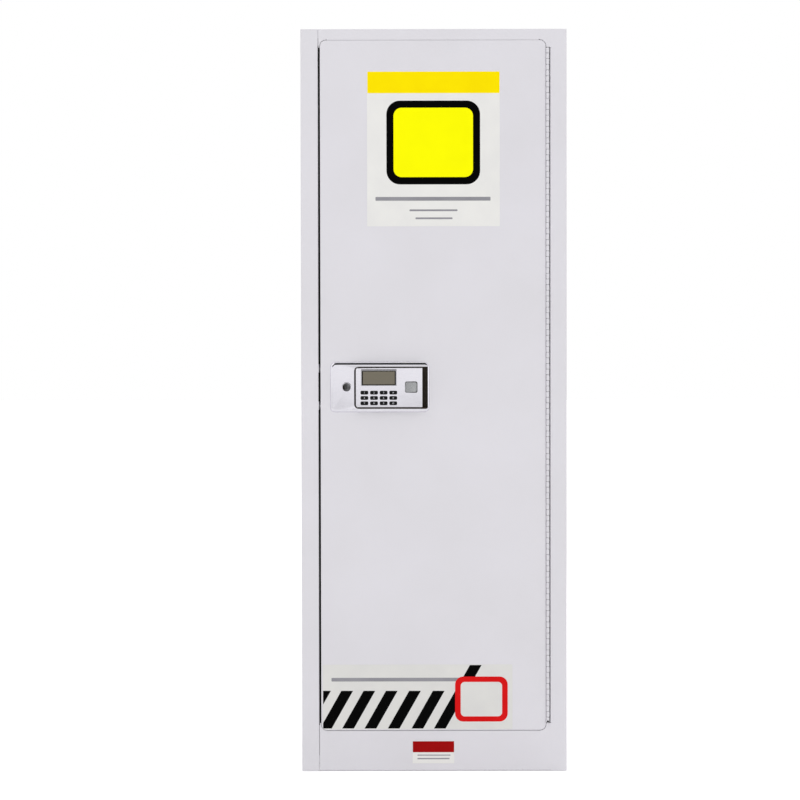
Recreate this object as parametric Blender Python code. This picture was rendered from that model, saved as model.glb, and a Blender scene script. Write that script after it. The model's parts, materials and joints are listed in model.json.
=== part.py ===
"""Toxic substance cabinet: a slim double-walled steel safety cabinet with one flush door.

The door hangs on a full-length piano hinge and is locked by a code lock: a pull flap with
a display and twelve keys, a key cylinder, and a bolt carriage whose rack a motor drives and
whose slanting slots push an upper and a lower rod.

Metres, +Z up. The front faces -Y, +X is to the right seen from the front, and the origin
is on the floor under the middle of the cabinet's box.
"""
import math

import bmesh
import bpy
from mathutils import Vector

# Shared fits
clear = 0.0003
overrun = 0.002
merge_distance = 0.000001
seam_distance = 0.00001
flat_angle = math.radians(0.1)
smooth_angle = math.radians(35.0)
round_names = ("vent_", "foot_", "hinge_pin", "flap_pin", "key_cylinder", "bolt_carriage",
               "drive_", "rod_")

# Cabinet
cabinet_height = 1.650
cabinet_width = 0.590
cabinet_depth = 0.460
sheet = 0.0012
bend_radius = 0.0025
bend_steps = 2
wall_cavity = 0.038
liner_sheet = 0.001
skirt_lift = 0.001
base_lift = 0.016
panel_flange = 0.020

# Front frame
left_stile_width = 0.0393
right_stile_width = 0.0345
top_rail_height = 0.0235
bottom_rail_height = 0.0910
rail_rebate_depth = 0.004
rail_hem = 0.015
stop_width = 0.014
stop_gap = 0.003

# Door
door_side_gap = 0.0036
door_rail_gap = 0.0008
door_depth = 0.040
door_lip = 0.014
door_box_gap = 0.003
door_corner_radius = 0.013
door_corner_steps = 4
door_flange = 0.012
door_panel_margin = 0.035
door_panel_slope = 0.006
door_panel_press = 0.0018
ear_reach = 0.0035

# Piano hinge
hinge_knuckle_radius = 0.0032
hinge_leaf_sheet = 0.001
hinge_leaf_depth = 0.027
hinge_proud = 0.001
hinge_knuckle_pitch = 0.0125
hinge_end_gap = 0.016
hinge_knuckle_gap = 0.0003
hinge_knuckle_sides = 6
hinge_pin_radius = 0.0015
hinge_pin_gap = 0.0003
hinge_pin_sides = 6
hinge_bore_sides = 4
hinge_gap = 0.0045
hinge_pocket_depth = 0.009

# Shelves and what carries them
standard_width = 0.025
standard_proud = 0.010
standard_sheet = 0.0012
standard_inset = 0.045
standard_from_back = 0.125
standard_end_gap = 0.030
slot_pitch = 0.100
slot_height = 0.020
slot_width = 0.006
lower_shelf_slot = 4
upper_shelf_slot = 9
support_leg = 0.018
support_height = 0.030
support_sheet = 0.002
support_overhang = 0.020
hook_height = 0.012
hook_drop = 0.004
shelf_side_gap = 0.002
shelf_front_gap = 0.040
shelf_back_gap = 0.012
shelf_lip = 0.022
shelf_sheet = 0.0012
shelf_bead_count = 3
shelf_bead_width = 0.012
shelf_bead_drop = 0.004
sump_clear = 0.0003

# Vents
vent_bore_radius = 0.024
vent_tube_radius = 0.028
vent_flange_radius = 0.036
vent_flange_proud = 0.002
vent_thread_proud = 0.005
vent_cap_radius = 0.033
vent_cap_wall = 0.002
vent_cap_grip = 0.003
vent_grip_width = 0.010
vent_from_back = 0.075
vent_inner_proud = 0.0015
vent_low_height = 0.180
vent_from_top = 0.170
vent_sides = 12
screen_thickness = 0.002
screen_slot = 0.005
screen_slot_count = 4
screen_depth = 0.010

# Levelling feet
foot_radius = 0.018
foot_height = 0.006
foot_taper = 0.003
foot_stem_radius = 0.005
foot_stem_top = 0.034
foot_inset = 0.060
foot_sides = 12

# Code lock, its place measured from the door's left and bottom edges
lock_from_left = 0.0216
lock_above_bottom = 0.7092
lock_width = 0.2206
lock_height = 0.1125
lock_proud = 0.018
lock_corner_radius = 0.012
lock_round = 0.007
lock_round_steps = 3
lock_corner_steps = 4
boss_inset = 0.0085
boss_depth = 0.0138
boss_wall = 0.003
tub_floor = 0.0018

# Pull flap with the display and the keys
flap_from_left = 0.0553
flap_width = 0.1493
flap_height = 0.0877
flap_drop = 0.0010
flap_depth = 0.010
flap_gap = 0.0012
flap_corner_radius = 0.008
flap_face = 0.0032
flap_wall = 0.003
flap_edge = 0.001
flap_pin_radius = 0.0015
flap_pin_reach = 0.006
finger_gap = 0.0119
board_thickness = 0.0016

# Display
display_width = 0.0776
display_height = 0.0340
display_depth = 0.0020
display_sunk = 0.0002
display_from_left = 0.0140
display_below_top = 0.0060

# Keys
key_width = 0.0170
key_height = 0.0080
key_pitch_x = 0.0213
key_pitch_z = 0.0118
key_columns = 4
key_rows = 3
key_proud = 0.0015
key_corner = 0.0028
key_top_inset = 0.0005
key_flange = 0.0007
key_boot = 0.0031
key_gap = 0.0002
key_drop = 0.0512

# Key cylinder
cylinder_from_left = 0.0367
cylinder_radius = 0.0082
cylinder_sunk = 0.0004
cylinder_sides = 16
cylinder_boss = 0.003
keyway_width = 0.0016
keyway_length = 0.0100
keyway_depth = 0.006
journal_radius = 0.0035

# Bolt work
bolt_radius = 0.007
bolt_spread = 0.0830
bolt_depth = 0.019
bolt_rest_proud = 0.0026
bolt_throw = 0.018
bolt_sides = 12
bolt_gap = 0.0006
carriage_thickness = 0.003
carriage_width = 0.031
carriage_margin = 0.001
carriage_edge = 0.0040
bolt_tail = 0.006
rack_height = 0.008
rod_width = 0.012
rod_thickness = 0.003
rod_behind_bolt = 0.001
rod_inset = 0.0055
rod_start = 0.012
rod_nose_radius = 0.005
rod_nose_length = 0.040
rod_pin_radius = 0.0025
rod_pin_past = 0.001
rod_sides = 12
strike_thickness = 0.003
strike_margin = 0.009

# Gears, by module
gear_module = 0.0015
gear_teeth = 12
gear_pressure_angle = math.radians(25.0)
gear_backlash = 0.0003
gear_width = 0.005
dedendum_share = 1.25
flank_steps = 2
motor_offset_teeth = 9

# Lock case and motor
case_sheet = 0.0015
case_right_margin = 0.020
case_margin = 0.008
case_back_gap = 0.0025
motor_radius = 0.012
motor_length = 0.0100
motor_gap = 0.001
motor_sides = 16
shaft_radius = 0.002
shaft_sides = 8

# Places worked out from the sizes above
front_reach = lock_proud + key_proud
half_width = cabinet_width / 2
front = (front_reach - cabinet_depth) / 2
back = front + cabinet_depth

liner_offset = sheet + wall_cavity + liner_sheet
interior_left = liner_offset - half_width
interior_right = half_width - liner_offset
interior_back = back - liner_offset
interior_top = cabinet_height - liner_offset
interior_floor = base_lift + liner_offset

left_edge = left_stile_width - half_width
right_edge = half_width - right_stile_width
rail_top = bottom_rail_height
rail_soffit = cabinet_height - top_rail_height

hinge_x = right_edge - hinge_gap - hinge_knuckle_radius
hinge_y = front - hinge_proud
hinge_knuckle_reach = hinge_knuckle_radius / math.cos(math.pi / hinge_knuckle_sides)
door_left = left_edge + door_side_gap
door_right = hinge_x - hinge_knuckle_reach - clear
door_bottom = rail_top + door_rail_gap
door_top = rail_soffit - door_rail_gap
door_box_bottom = door_bottom + door_lip
door_box_top = door_top - door_lip
return_bottom = door_box_bottom - door_box_gap
return_top = door_box_top + door_box_gap
stop_y = front + door_depth + stop_gap
stop_left = left_edge + stop_width
leaf_face = hinge_x + hinge_knuckle_reach + clear
stop_right = leaf_face - stop_width
stop_bottom = return_bottom + stop_width
stop_top = return_top - stop_width
hinge_room = door_top - door_bottom - 2 * hinge_end_gap
hinge_knuckle_count = 2 * int(hinge_room / (2 * hinge_knuckle_pitch))
hinge_length = hinge_knuckle_pitch * hinge_knuckle_count
hinge_bottom = (door_bottom + door_top - hinge_length) / 2

lock_left = door_left + lock_from_left
lock_right = lock_left + lock_width
lock_bottom = door_bottom + lock_above_bottom
lock_top = lock_bottom + lock_height
lock_z = (lock_bottom + lock_top) / 2
lock_front = front - lock_proud
boss_back = front + boss_depth
flap_left = lock_left + flap_from_left
flap_right = flap_left + flap_width
flap_z = lock_z - flap_drop
flap_bottom = flap_z - flap_height / 2
flap_top = flap_z + flap_height / 2
flap_axis_x = flap_left + flap_depth / 2
flap_axis_y = lock_front + flap_depth / 2
pocket_left = flap_left - flap_gap
pocket_right = flap_right + finger_gap
pocket_bottom = flap_bottom - flap_gap
pocket_top = flap_top + flap_gap
display_left = flap_left + display_from_left
display_top = flap_top - display_below_top
display_x = display_left + display_width / 2
key_face_z = flap_top - key_drop - key_height / 2
cylinder_x = lock_left + cylinder_from_left

bolt_y = front + bolt_depth
bolt_low_z = lock_z - bolt_spread / 2
bolt_high_z = lock_z + bolt_spread / 2
bolt_tip = door_left - bolt_rest_proud
case_left = door_left + sheet + clear
carriage_left = case_left + case_sheet + bolt_throw + carriage_margin
carriage_right = carriage_left + carriage_width
rod_x = carriage_left + rod_inset
rod_y = bolt_y + bolt_radius + rod_behind_bolt
gear_pitch = math.pi * gear_module
gear_radius = gear_module * gear_teeth / 2
rack_line = lock_z - gear_radius
motor_x = cylinder_x + motor_offset_teeth * gear_pitch
gear_y = bolt_y - gear_width / 2
case_front = boss_back + clear
case_back = front + door_depth - sheet - case_back_gap
case_floor = case_back - case_sheet
case_right = motor_x + motor_radius + case_right_margin
case_bottom = bolt_low_z - bolt_radius - case_margin
case_top = bolt_high_z + bolt_radius + case_margin


def clear_scene():
    """Remove whatever the scene holds."""
    for item in list(bpy.data.objects):
        bpy.data.objects.remove(item, do_unlink=True)


def material(name, colour, roughness, metallic):
    """A plain Principled finish."""
    finish = bpy.data.materials.new(name)
    finish.use_nodes = True
    shader = finish.node_tree.nodes["Principled BSDF"]
    shader.inputs["Base Color"].default_value = (*colour, 1.0)
    shader.inputs["Roughness"].default_value = roughness
    shader.inputs["Metallic"].default_value = metallic
    finish.diffuse_color = (*colour, 1.0)
    return finish


def empty(name, place, parent=None):
    """A pivot on a joint's axis."""
    pivot = bpy.data.objects.new(name, None)
    bpy.context.collection.objects.link(pivot)
    pivot["place"] = place
    pivot.location = Vector(place)
    if parent:
        pivot.parent = parent
        pivot.location = Vector(place) - Vector(parent["place"])
    return pivot


def finish_object(name, body, finish, parent=None, origin=(0.0, 0.0, 0.0)):
    """Turn a body drawn in cabinet coordinates into a named object with its own origin."""
    bmesh.ops.remove_doubles(body, verts=body.verts, dist=merge_distance)
    bmesh.ops.translate(body, verts=body.verts, vec=-Vector(origin))
    bmesh.ops.recalc_face_normals(body, faces=body.faces)
    mesh = bpy.data.meshes.new(name)
    body.to_mesh(mesh)
    body.free()
    if name.startswith(round_names):
        mesh.shade_smooth()
        mesh.set_sharp_from_angle(angle=smooth_angle)
    mesh.materials.append(finish)
    item = bpy.data.objects.new(name, mesh)
    bpy.context.collection.objects.link(item)
    item.location = Vector(origin)
    if parent:
        item.parent = parent
        item.location = Vector(origin) - Vector(parent["place"])
    return item


def on_axis(axis, across, along):
    """A point from its place across an axis and its place along it."""
    first, second = across
    if axis == "X":
        return Vector((along, first, second))
    if axis == "Y":
        return Vector((first, along, second))
    return Vector((first, second, along))


def prism(outline, axis, low, high):
    """A flat outline carried straight along an axis."""
    body = bmesh.new()
    corners = [body.verts.new(on_axis(axis, point, low)) for point in outline]
    face = body.faces.new(corners)
    grown = bmesh.ops.extrude_face_region(body, geom=[face])
    moved = [item for item in grown["geom"] if isinstance(item, bmesh.types.BMVert)]
    bmesh.ops.translate(body, verts=moved, vec=on_axis(axis, (0.0, 0.0), high - low))
    bmesh.ops.recalc_face_normals(body, faces=body.faces)
    return body


def block(x_span, y_span, z_span):
    """A rectangular block between three pairs of planes."""
    corners = [(x, y) for x, y in zip((x_span[0], x_span[1], x_span[1], x_span[0]),
                                      (y_span[0], y_span[0], y_span[1], y_span[1]))]
    return prism(corners, "Z", z_span[0], z_span[1])


def round_outline(centre, radius, sides, turn=0.0):
    """A regular outline whose flats stand at the radius."""
    reach = radius / math.cos(math.pi / sides)
    step = 2 * math.pi / sides
    return [(centre[0] + reach * math.cos(turn + (side + 0.5) * step),
             centre[1] + reach * math.sin(turn + (side + 0.5) * step)) for side in range(sides)]


def rod(axis, centre, radius, low, high, sides):
    """A round bar along an axis."""
    return prism(round_outline(centre, radius, sides), axis, low, high)


def arc(centre, radius, start, end, steps):
    """Points on an arc, both ends included."""
    return [(centre[0] + radius * math.cos(start + (end - start) * step / steps),
             centre[1] + radius * math.sin(start + (end - start) * step / steps))
            for step in range(steps + 1)]


def rounded_rectangle(left, right, low, high, radii, steps):
    """Outline of a rectangle; radii go low left, low right, high right, high left."""
    corners = ((left, low, 1, 1, math.pi), (right, low, -1, 1, 1.5 * math.pi),
               (right, high, -1, -1, 0.0), (left, high, 1, -1, 0.5 * math.pi))
    outline = []
    for (x, z, across, up, start), radius in zip(corners, radii):
        if radius > 0:
            centre = (x + across * radius, z + up * radius)
            outline += arc(centre, radius, start, start + math.pi / 2, steps)
        else:
            outline.append((x, z))
    return outline


def folded_sheet(path, thickness, side, bend=bend_radius, steps=bend_steps):
    """Outline of a bent sheet: its face follows the path, its thickness lies to one side."""
    points = [Vector(point) for point in path]
    faces = ([], [])
    for number, point in enumerate(points):
        before = (point - points[number - 1]).normalized() if number else None
        after = (points[number + 1] - point).normalized() if number + 1 < len(points) else None
        if before is None or after is None:
            heading = after or before
            normal = Vector((-heading.y, heading.x)) * side
            faces[0].append(tuple(point))
            faces[1].append(tuple(point + normal * thickness))
            continue
        normal_before = Vector((-before.y, before.x)) * side
        normal_after = Vector((-after.y, after.x)) * side
        mitre = (normal_before + normal_after) / (1 + normal_before.dot(normal_after))
        turn = before.cross(after)
        for layer, shift in enumerate((0.0, thickness)):
            corner = point + mitre * shift
            outer = (turn * side > 0) == (layer == 0)
            radius = bend if outer else bend - thickness
            if radius <= 0:
                faces[layer].append(tuple(corner))
                continue
            reach = radius * math.tan(before.angle(after) / 2)
            inward = Vector((-before.y, before.x)) * math.copysign(1.0, turn)
            centre = corner - before * reach + inward * radius
            first = math.atan2(-inward.y, -inward.x)
            swing = math.atan2(turn, before.dot(after))
            faces[layer].extend(arc(centre, radius, first, first + swing, steps))
    return faces[0] + faces[1][::-1]


def turned(profile, axis, centre, sides):
    """A closed outline of (radius, place along) spun about an axis."""
    body = bmesh.new()
    first, second = centre
    middle = on_axis(axis, (first, second), 0.0)
    ring = [body.verts.new(on_axis(axis, (first + radius, second), along))
            for radius, along in profile]
    edges = [body.edges.new((ring[number - 1], ring[number])) for number in range(len(ring))
             if profile[number][0] > 0 or profile[number - 1][0] > 0]
    spun = on_axis(axis, (0.0, 0.0), 1.0)
    bmesh.ops.spin(body, geom=ring + edges, cent=middle, axis=spun, dvec=(0.0, 0.0, 0.0),
                   angle=2 * math.pi, steps=sides, use_merge=False, use_duplicate=False)
    bmesh.ops.remove_doubles(body, verts=body.verts, dist=seam_distance)
    bmesh.ops.recalc_face_normals(body, faces=body.faces)
    return body


def merged(bodies):
    """Bodies that don't meet, kept together as one cutter."""
    whole = bmesh.new()
    for body in bodies:
        mesh = bpy.data.meshes.new("cutter")
        body.to_mesh(mesh)
        body.free()
        whole.from_mesh(mesh)
        bpy.data.meshes.remove(mesh)
    return whole


def loose_object(name, body):
    """A passing object that holds one side of a cut."""
    mesh = bpy.data.meshes.new(name)
    body.to_mesh(mesh)
    body.free()
    item = bpy.data.objects.new(name, mesh)
    item.display_type = "WIRE"
    item.hide_render = True
    bpy.context.collection.objects.link(item)
    return item


def combine(base, other, operation):
    """Union, difference or intersection of two closed bodies, as a new body."""
    base_item = loose_object("base", base)
    other_item = loose_object("other", other)
    modifier = base_item.modifiers.new("combine", "BOOLEAN")
    modifier.operation = operation
    modifier.solver = "EXACT"
    modifier.object = other_item
    bpy.context.view_layer.update()
    result = bmesh.new()
    result.from_object(base_item, bpy.context.evaluated_depsgraph_get())
    for item in (base_item, other_item):
        mesh = item.data
        bpy.data.objects.remove(item, do_unlink=True)
        bpy.data.meshes.remove(mesh)
    bmesh.ops.remove_doubles(result, verts=result.verts, dist=merge_distance)
    return result


def joined(first, *others):
    """One body out of several that overlap."""
    for other in others:
        first = combine(first, other, "UNION")
    return first


def cut(base, *cutters):
    """A body with every cutter taken out of it."""
    return combine(base, merged(cutters), "DIFFERENCE")


def flattened(body):
    """A body whose faces in one plane are joined into one."""
    bmesh.ops.dissolve_limit(body, angle_limit=flat_angle, verts=body.verts, edges=body.edges)
    return body


def loft(rings):
    """A closed body through rings of as many points each, flat at both ends."""
    body = bmesh.new()
    loops = [[body.verts.new(point) for point in ring] for ring in rings]
    for low, high in zip(loops, loops[1:]):
        for number in range(len(low)):
            following = (number + 1) % len(low)
            body.faces.new((low[number], low[following], high[following], high[number]))
    body.faces.new(loops[0][::-1])
    body.faces.new(loops[-1])
    bmesh.ops.recalc_face_normals(body, faces=body.faces)
    return body


def front_ring(outline, y):
    """An outline drawn in X and Z, placed at a depth."""
    return [Vector((x, y, z)) for x, z in outline]


def grown_span(span, margin):
    """A pair of places moved apart by a margin."""
    return (span[0] - margin, span[1] + margin)


def both_signs():
    """Left and right, as the sign of X."""
    return (("left", -1), ("right", 1))


# Outer body


def return_notch(x_span, z_span):
    """What is taken off a side panel's returns above or below the door opening."""
    return block(x_span, (front + sheet, stop_y + sheet + overrun), z_span)


def vent_place(side):
    """Height of the vent: low on the left, high on the right."""
    return vent_low_height if side < 0 else cabinet_height - vent_from_top


def vent_hole(side, low, high):
    """The round hole for a vent tube through a wall between two places in X."""
    centre = (back - vent_from_back, vent_place(side))
    return rod("X", centre, vent_tube_radius + clear, low, high, vent_sides)


def bolt_holes(low, high, gap):
    """Two round holes for the bolts between two places in X."""
    return [rod("X", (bolt_y, height), bolt_radius + gap, low, high, bolt_sides)
            for height in (bolt_low_z, bolt_high_z)]


def left_side_panel():
    """Side, front stile, return and door stop bent from one sheet."""
    path = [(-half_width, back), (-half_width, front), (left_edge, front),
            (left_edge, stop_y), (stop_left, stop_y)]
    panel = prism(folded_sheet(path, sheet, 1), "Z", skirt_lift, cabinet_height)
    inner = (sheet + overrun - half_width, stop_left + overrun)
    cutters = [return_notch(inner, (return_top - clear, cabinet_height + overrun)),
               return_notch(inner, (skirt_lift - overrun, return_bottom + clear)),
               vent_hole(-1, -half_width - overrun, sheet + overrun - half_width)]
    cutters += bolt_holes(left_edge - sheet - overrun, left_edge + overrun, bolt_gap)
    return cut(panel, *cutters)


def right_side_panel():
    """As the left one, with a step in its return where the hinge leaf lies."""
    step_y = front + hinge_pocket_depth
    path = [(half_width, back), (half_width, front), (right_edge, front), (right_edge, step_y),
            (leaf_face, step_y), (leaf_face, stop_y), (stop_right, stop_y)]
    panel = prism(folded_sheet(path, sheet, -1), "Z", skirt_lift, cabinet_height)
    inner = (stop_right - overrun, half_width - sheet - overrun)
    return cut(panel, return_notch(inner, (return_top - clear, cabinet_height + overrun)),
               return_notch(inner, (skirt_lift - overrun, return_bottom + clear)),
               vent_hole(1, half_width - sheet - overrun, half_width + overrun))


def back_panel():
    """Rear sheet with a flange along each side."""
    side_x = half_width - sheet - clear
    path = [(-side_x, back - panel_flange), (-side_x, back), (side_x, back),
            (side_x, back - panel_flange)]
    return prism(folded_sheet(path, sheet, -1), "Z", skirt_lift, cabinet_height)


def cross_panel(face_z, flange_z, side):
    """Top or base sheet with a flange at the front and at the back."""
    front_y = front + sheet + clear
    back_y = back - sheet - clear
    path = [(front_y, flange_z), (front_y, face_z), (back_y, face_z), (back_y, flange_z)]
    side_x = half_width - sheet - clear
    panel = prism(folded_sheet(path, sheet, side), "X", -side_x, side_x)
    z_span = grown_span(sorted((face_z, flange_z)), overrun)
    corners = [block(grown_span((edge, edge), bend_radius + clear), y_span, z_span)
               for edge in (-side_x, side_x)
               for y_span in ((front_y - overrun, front_y + bend_radius),
                              (back - panel_flange - clear, back_y + overrun))]
    return cut(panel, *corners)


def top_panel():
    """Top sheet, its flanges turned down."""
    return cross_panel(cabinet_height, cabinet_height - panel_flange, -1)


def foot_places():
    """Name and place of each levelling foot."""
    x = half_width - foot_inset
    return [(f"foot_{row}_{hand}", (sign * x, y)) for row, y in
            (("front", front + foot_inset), ("back", back - foot_inset))
            for hand, sign in both_signs()]


def base_panel():
    """Bottom sheet, its flanges turned up, with a hole for each foot's stem."""
    panel = cross_panel(base_lift, base_lift + panel_flange, 1)
    holes = [rod("Z", place, foot_stem_radius + clear, base_lift - overrun,
                 base_lift + sheet + overrun, foot_sides // 2) for _, place in foot_places()]
    return cut(panel, *holes)


def ear(side, edge_z, tip_z):
    """Corner of a rail that follows the door's round corner down the opening."""
    outer = (left_edge + clear) if side < 0 else (right_edge - clear)
    door_edge = door_left if side < 0 else door_right
    up = 1 if edge_z > tip_z else -1
    radius = door_corner_radius + door_rail_gap
    centre = (door_edge - side * door_corner_radius, edge_z - up * radius)
    root = edge_z + up * (bend_radius + overrun)
    start = up * math.pi / 2
    swing = math.pi / 2 if side * up < 0 else -math.pi / 2
    curve = arc(centre, radius, start, start + swing, door_corner_steps)
    outline = [(outer, root), (centre[0], root)] + curve + [(curve[-1][0], tip_z), (outer, tip_z)]
    return prism(outline, "Y", front, front + sheet)


def rail(path, side, edge_z, tips, stop_span):
    """A bent rail between the stiles with an ear at each end."""
    body = prism(folded_sheet(path, sheet, side), "X", left_edge + clear, right_edge - clear)
    deep = (stop_y - clear, stop_y + sheet + overrun)
    behind = (front + rail_rebate_depth - clear, stop_y + sheet + overrun)
    rod_hole = rod("Z", (rod_x, rod_y + rod_thickness / 2), rod_nose_radius + bolt_gap,
                   min(stop_span) - overrun, max(stop_span) + overrun, rod_sides)
    body = cut(body, block((left_edge - overrun, stop_left + clear), deep, stop_span),
               block((stop_right - clear, right_edge + overrun), deep, stop_span), rod_hole)
    body = cut(body, block((leaf_face - clear, right_edge + overrun), behind, stop_span))
    return joined(body, ear(-1, edge_z, tips[0]), ear(1, edge_z, tips[1]))


def top_rail():
    """Rail above the door: face, rebate, return and stop."""
    step_y = front + rail_rebate_depth
    path = [(front, cabinet_height), (front, rail_soffit), (step_y, rail_soffit),
            (step_y, return_top), (stop_y, return_top), (stop_y, stop_top)]
    tips = (door_top - door_corner_radius - ear_reach, hinge_bottom + hinge_length + hinge_proud)
    return rail(path, 1, rail_soffit, tips, (stop_top - overrun, return_top + sheet + overrun))


def bottom_rail():
    """Rail below the door: hem, face, rebate, return and stop."""
    step_y = front + rail_rebate_depth
    path = [(front + rail_hem, skirt_lift), (front, skirt_lift), (front, rail_top),
            (step_y, rail_top), (step_y, return_bottom), (stop_y, return_bottom),
            (stop_y, stop_bottom)]
    tips = (door_bottom + door_corner_radius + ear_reach, hinge_bottom - hinge_proud)
    return rail(path, -1, rail_top, tips, (return_bottom - sheet - overrun, stop_bottom + overrun))


# Liner


def liner_front():
    """Depth of the cavity side of the liner's front flanges."""
    return stop_y + sheet + clear + liner_sheet


def liner_side(side):
    """Inner wall with a flange behind the door stop and the vent's hole."""
    wall_x = interior_left if side < 0 else interior_right
    stop_x = stop_left if side < 0 else stop_right
    path = [(wall_x, interior_back - clear), (wall_x, liner_front()), (stop_x, liner_front())]
    wall = prism(folded_sheet(path, liner_sheet, side, bend=0.0), "Z", interior_floor - liner_sheet,
                 interior_top - clear)
    low, high = sorted((wall_x - side * overrun, wall_x + side * (liner_sheet + overrun)))
    return cut(wall, vent_hole(side, low, high))


def liner_back():
    """Inner rear wall."""
    return block((interior_left - liner_sheet, interior_right + liner_sheet),
                 (interior_back, interior_back + liner_sheet),
                 (interior_floor - liner_sheet, interior_top + liner_sheet))


def liner_top():
    """Inner ceiling, its front edge against the top rail's stop."""
    return block((interior_left - liner_sheet, interior_right + liner_sheet),
                 (stop_y + sheet + clear, interior_back - clear),
                 (interior_top, interior_top + liner_sheet))


def sump_pan():
    """Leakproof tray that forms the inner floor."""
    x_span = (interior_left + clear, interior_right - clear)
    y_span = (liner_front() + clear, interior_back - clear)
    top = stop_bottom - sump_clear
    pan = block(x_span, y_span, (interior_floor - liner_sheet, top))
    room = block(grown_span(x_span, -liner_sheet), grown_span(y_span, -liner_sheet),
                 (interior_floor, top + overrun))
    return cut(pan, room)


# Shelf standards, supports and shelves


def standard_rows():
    """Depth of the front and back standards."""
    return (("front", liner_front() + standard_inset), ("back", back - standard_from_back))


def standard_span():
    """Foot and head of the standards."""
    return (stop_bottom + standard_end_gap, interior_top - standard_end_gap)


def slot_middle(number):
    """Height of the middle of a slot, counted from the foot."""
    return standard_span()[0] + slot_pitch * (number + 1) - slot_pitch / 2


def standard_face(side):
    """X of the web's face that looks into the cabinet."""
    wall_x = interior_left if side < 0 else interior_right
    return wall_x - side * (clear + standard_proud)


def standard(side, y):
    """Slotted channel that stands on the inner side wall."""
    wall_x = (interior_left if side < 0 else interior_right) - side * clear
    web_x = standard_face(side)
    y_low = y - standard_width / 2
    y_high = y + standard_width / 2
    path = [(wall_x, y_low), (web_x, y_low), (web_x, y_high), (wall_x, y_high)]
    channel = prism(folded_sheet(path, standard_sheet, -side, bend=0.0), "Z", *standard_span())
    low, high = sorted((web_x - side * overrun, web_x + side * (standard_sheet + overrun)))
    length = standard_span()[1] - standard_span()[0]
    slots = [block((low, high), (y - slot_width / 2, y + slot_width / 2),
                   (slot_middle(number) - slot_height / 2, slot_middle(number) + slot_height / 2))
             for number in range(int(length // slot_pitch))]
    return cut(channel, *slots)


def support_seat(slot):
    """Height of the face that a shelf rests on, for supports hooked into a slot."""
    return slot_middle(slot) - slot_height / 2 + clear + hook_height + support_sheet


def support(side, slot):
    """Angle with hooks that reach through the slots of two standards."""
    leg_x = standard_face(side) - side * clear
    seat = support_seat(slot)
    rows = [y for _, y in standard_rows()]
    path = [(leg_x, seat - support_height), (leg_x, seat), (leg_x - side * support_leg, seat)]
    angle = prism(folded_sheet(path, support_sheet, side, bend=0.0), "Y",
                  rows[0] - support_overhang, rows[1] + support_overhang)
    hook_low = slot_middle(slot) - slot_height / 2 + clear
    hook_high = hook_low + hook_height
    web_back = standard_face(side) + side * (standard_sheet + clear)
    half_hook = slot_width / 2 - clear
    tongues = []
    for y in rows:
        across = sorted((leg_x - side * support_sheet / 2, web_back + side * support_sheet))
        tongues.append(block(across, (y - half_hook, y + half_hook), (hook_low, hook_high)))
    barbs = []
    for y in rows:
        across = sorted((web_back, web_back + side * support_sheet))
        barbs.append(block(across, (y - half_hook, y + half_hook),
                           (hook_low - hook_drop, hook_high)))
    angle = joined(angle, merged(tongues))
    return joined(angle, merged(barbs))


def shelf(slot):
    """Spill tray with turned-up rims and pressed beads, resting on two supports."""
    side_left = standard_face(-1) + clear + support_sheet + shelf_side_gap
    side_right = standard_face(1) - clear - support_sheet - shelf_side_gap
    y_low = liner_front() + shelf_front_gap
    y_high = interior_back - shelf_back_gap
    low = support_seat(slot) + clear
    high = low + shelf_lip
    spacing = (y_high - y_low) / (shelf_bead_count + 1)
    beads = [y_low + spacing * (number + 1) for number in range(shelf_bead_count)]
    under = [(y_low, low)]
    floor = [(y_low + shelf_sheet, low + shelf_sheet)]
    for middle in beads:
        for points, level in ((under, low), (floor, low + shelf_sheet)):
            points += [(middle - shelf_bead_width / 2, level),
                       (middle - shelf_bead_width / 4, level + shelf_bead_drop),
                       (middle + shelf_bead_width / 4, level + shelf_bead_drop),
                       (middle + shelf_bead_width / 2, level)]
    under += [(y_high, low), (y_high, high), (y_low, high)]
    floor += [(y_high - shelf_sheet, low + shelf_sheet), (y_high - shelf_sheet, high + overrun),
              (y_low + shelf_sheet, high + overrun)]
    return cut(prism(under, "X", side_left, side_right),
               prism(floor, "X", side_left + shelf_sheet, side_right - shelf_sheet))


# Vents and feet


def outward(side, profile):
    """Profile of (radius, place outward from the side panel) put on its side in X."""
    return [(radius, side * (half_width + out)) for radius, out in profile]


def vent_collar(side):
    """Flanged vent tube through both walls with a flame screen across its bore."""
    inner = -liner_offset - vent_inner_proud
    thread_top = vent_flange_proud + vent_thread_proud
    profile = [(vent_bore_radius, inner), (vent_tube_radius, inner), (vent_tube_radius, clear),
               (vent_flange_radius, clear), (vent_flange_radius, vent_flange_proud),
               (vent_tube_radius, vent_flange_proud), (vent_tube_radius, thread_top),
               (vent_bore_radius, thread_top)]
    centre = (back - vent_from_back, vent_place(side))
    tube = turned(outward(side, profile), "X", centre, vent_sides)
    screen_x = sorted(side * (half_width - screen_depth - step) for step in (0.0, screen_thickness))
    disc = rod("X", centre, (vent_bore_radius + vent_tube_radius) / 2, *screen_x, vent_sides)
    slots = []
    for number in range(screen_slot_count):
        across = (number - (screen_slot_count - 1) / 2) * screen_slot * 2
        reach = math.sqrt(vent_bore_radius ** 2 - (abs(across) + screen_slot) ** 2)
        slots.append(block(grown_span(screen_x, overrun),
                           grown_span((centre[0] + across, centre[0] + across), screen_slot / 2),
                           grown_span((centre[1], centre[1]), reach)))
    return joined(tube, cut(disc, *slots))


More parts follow.
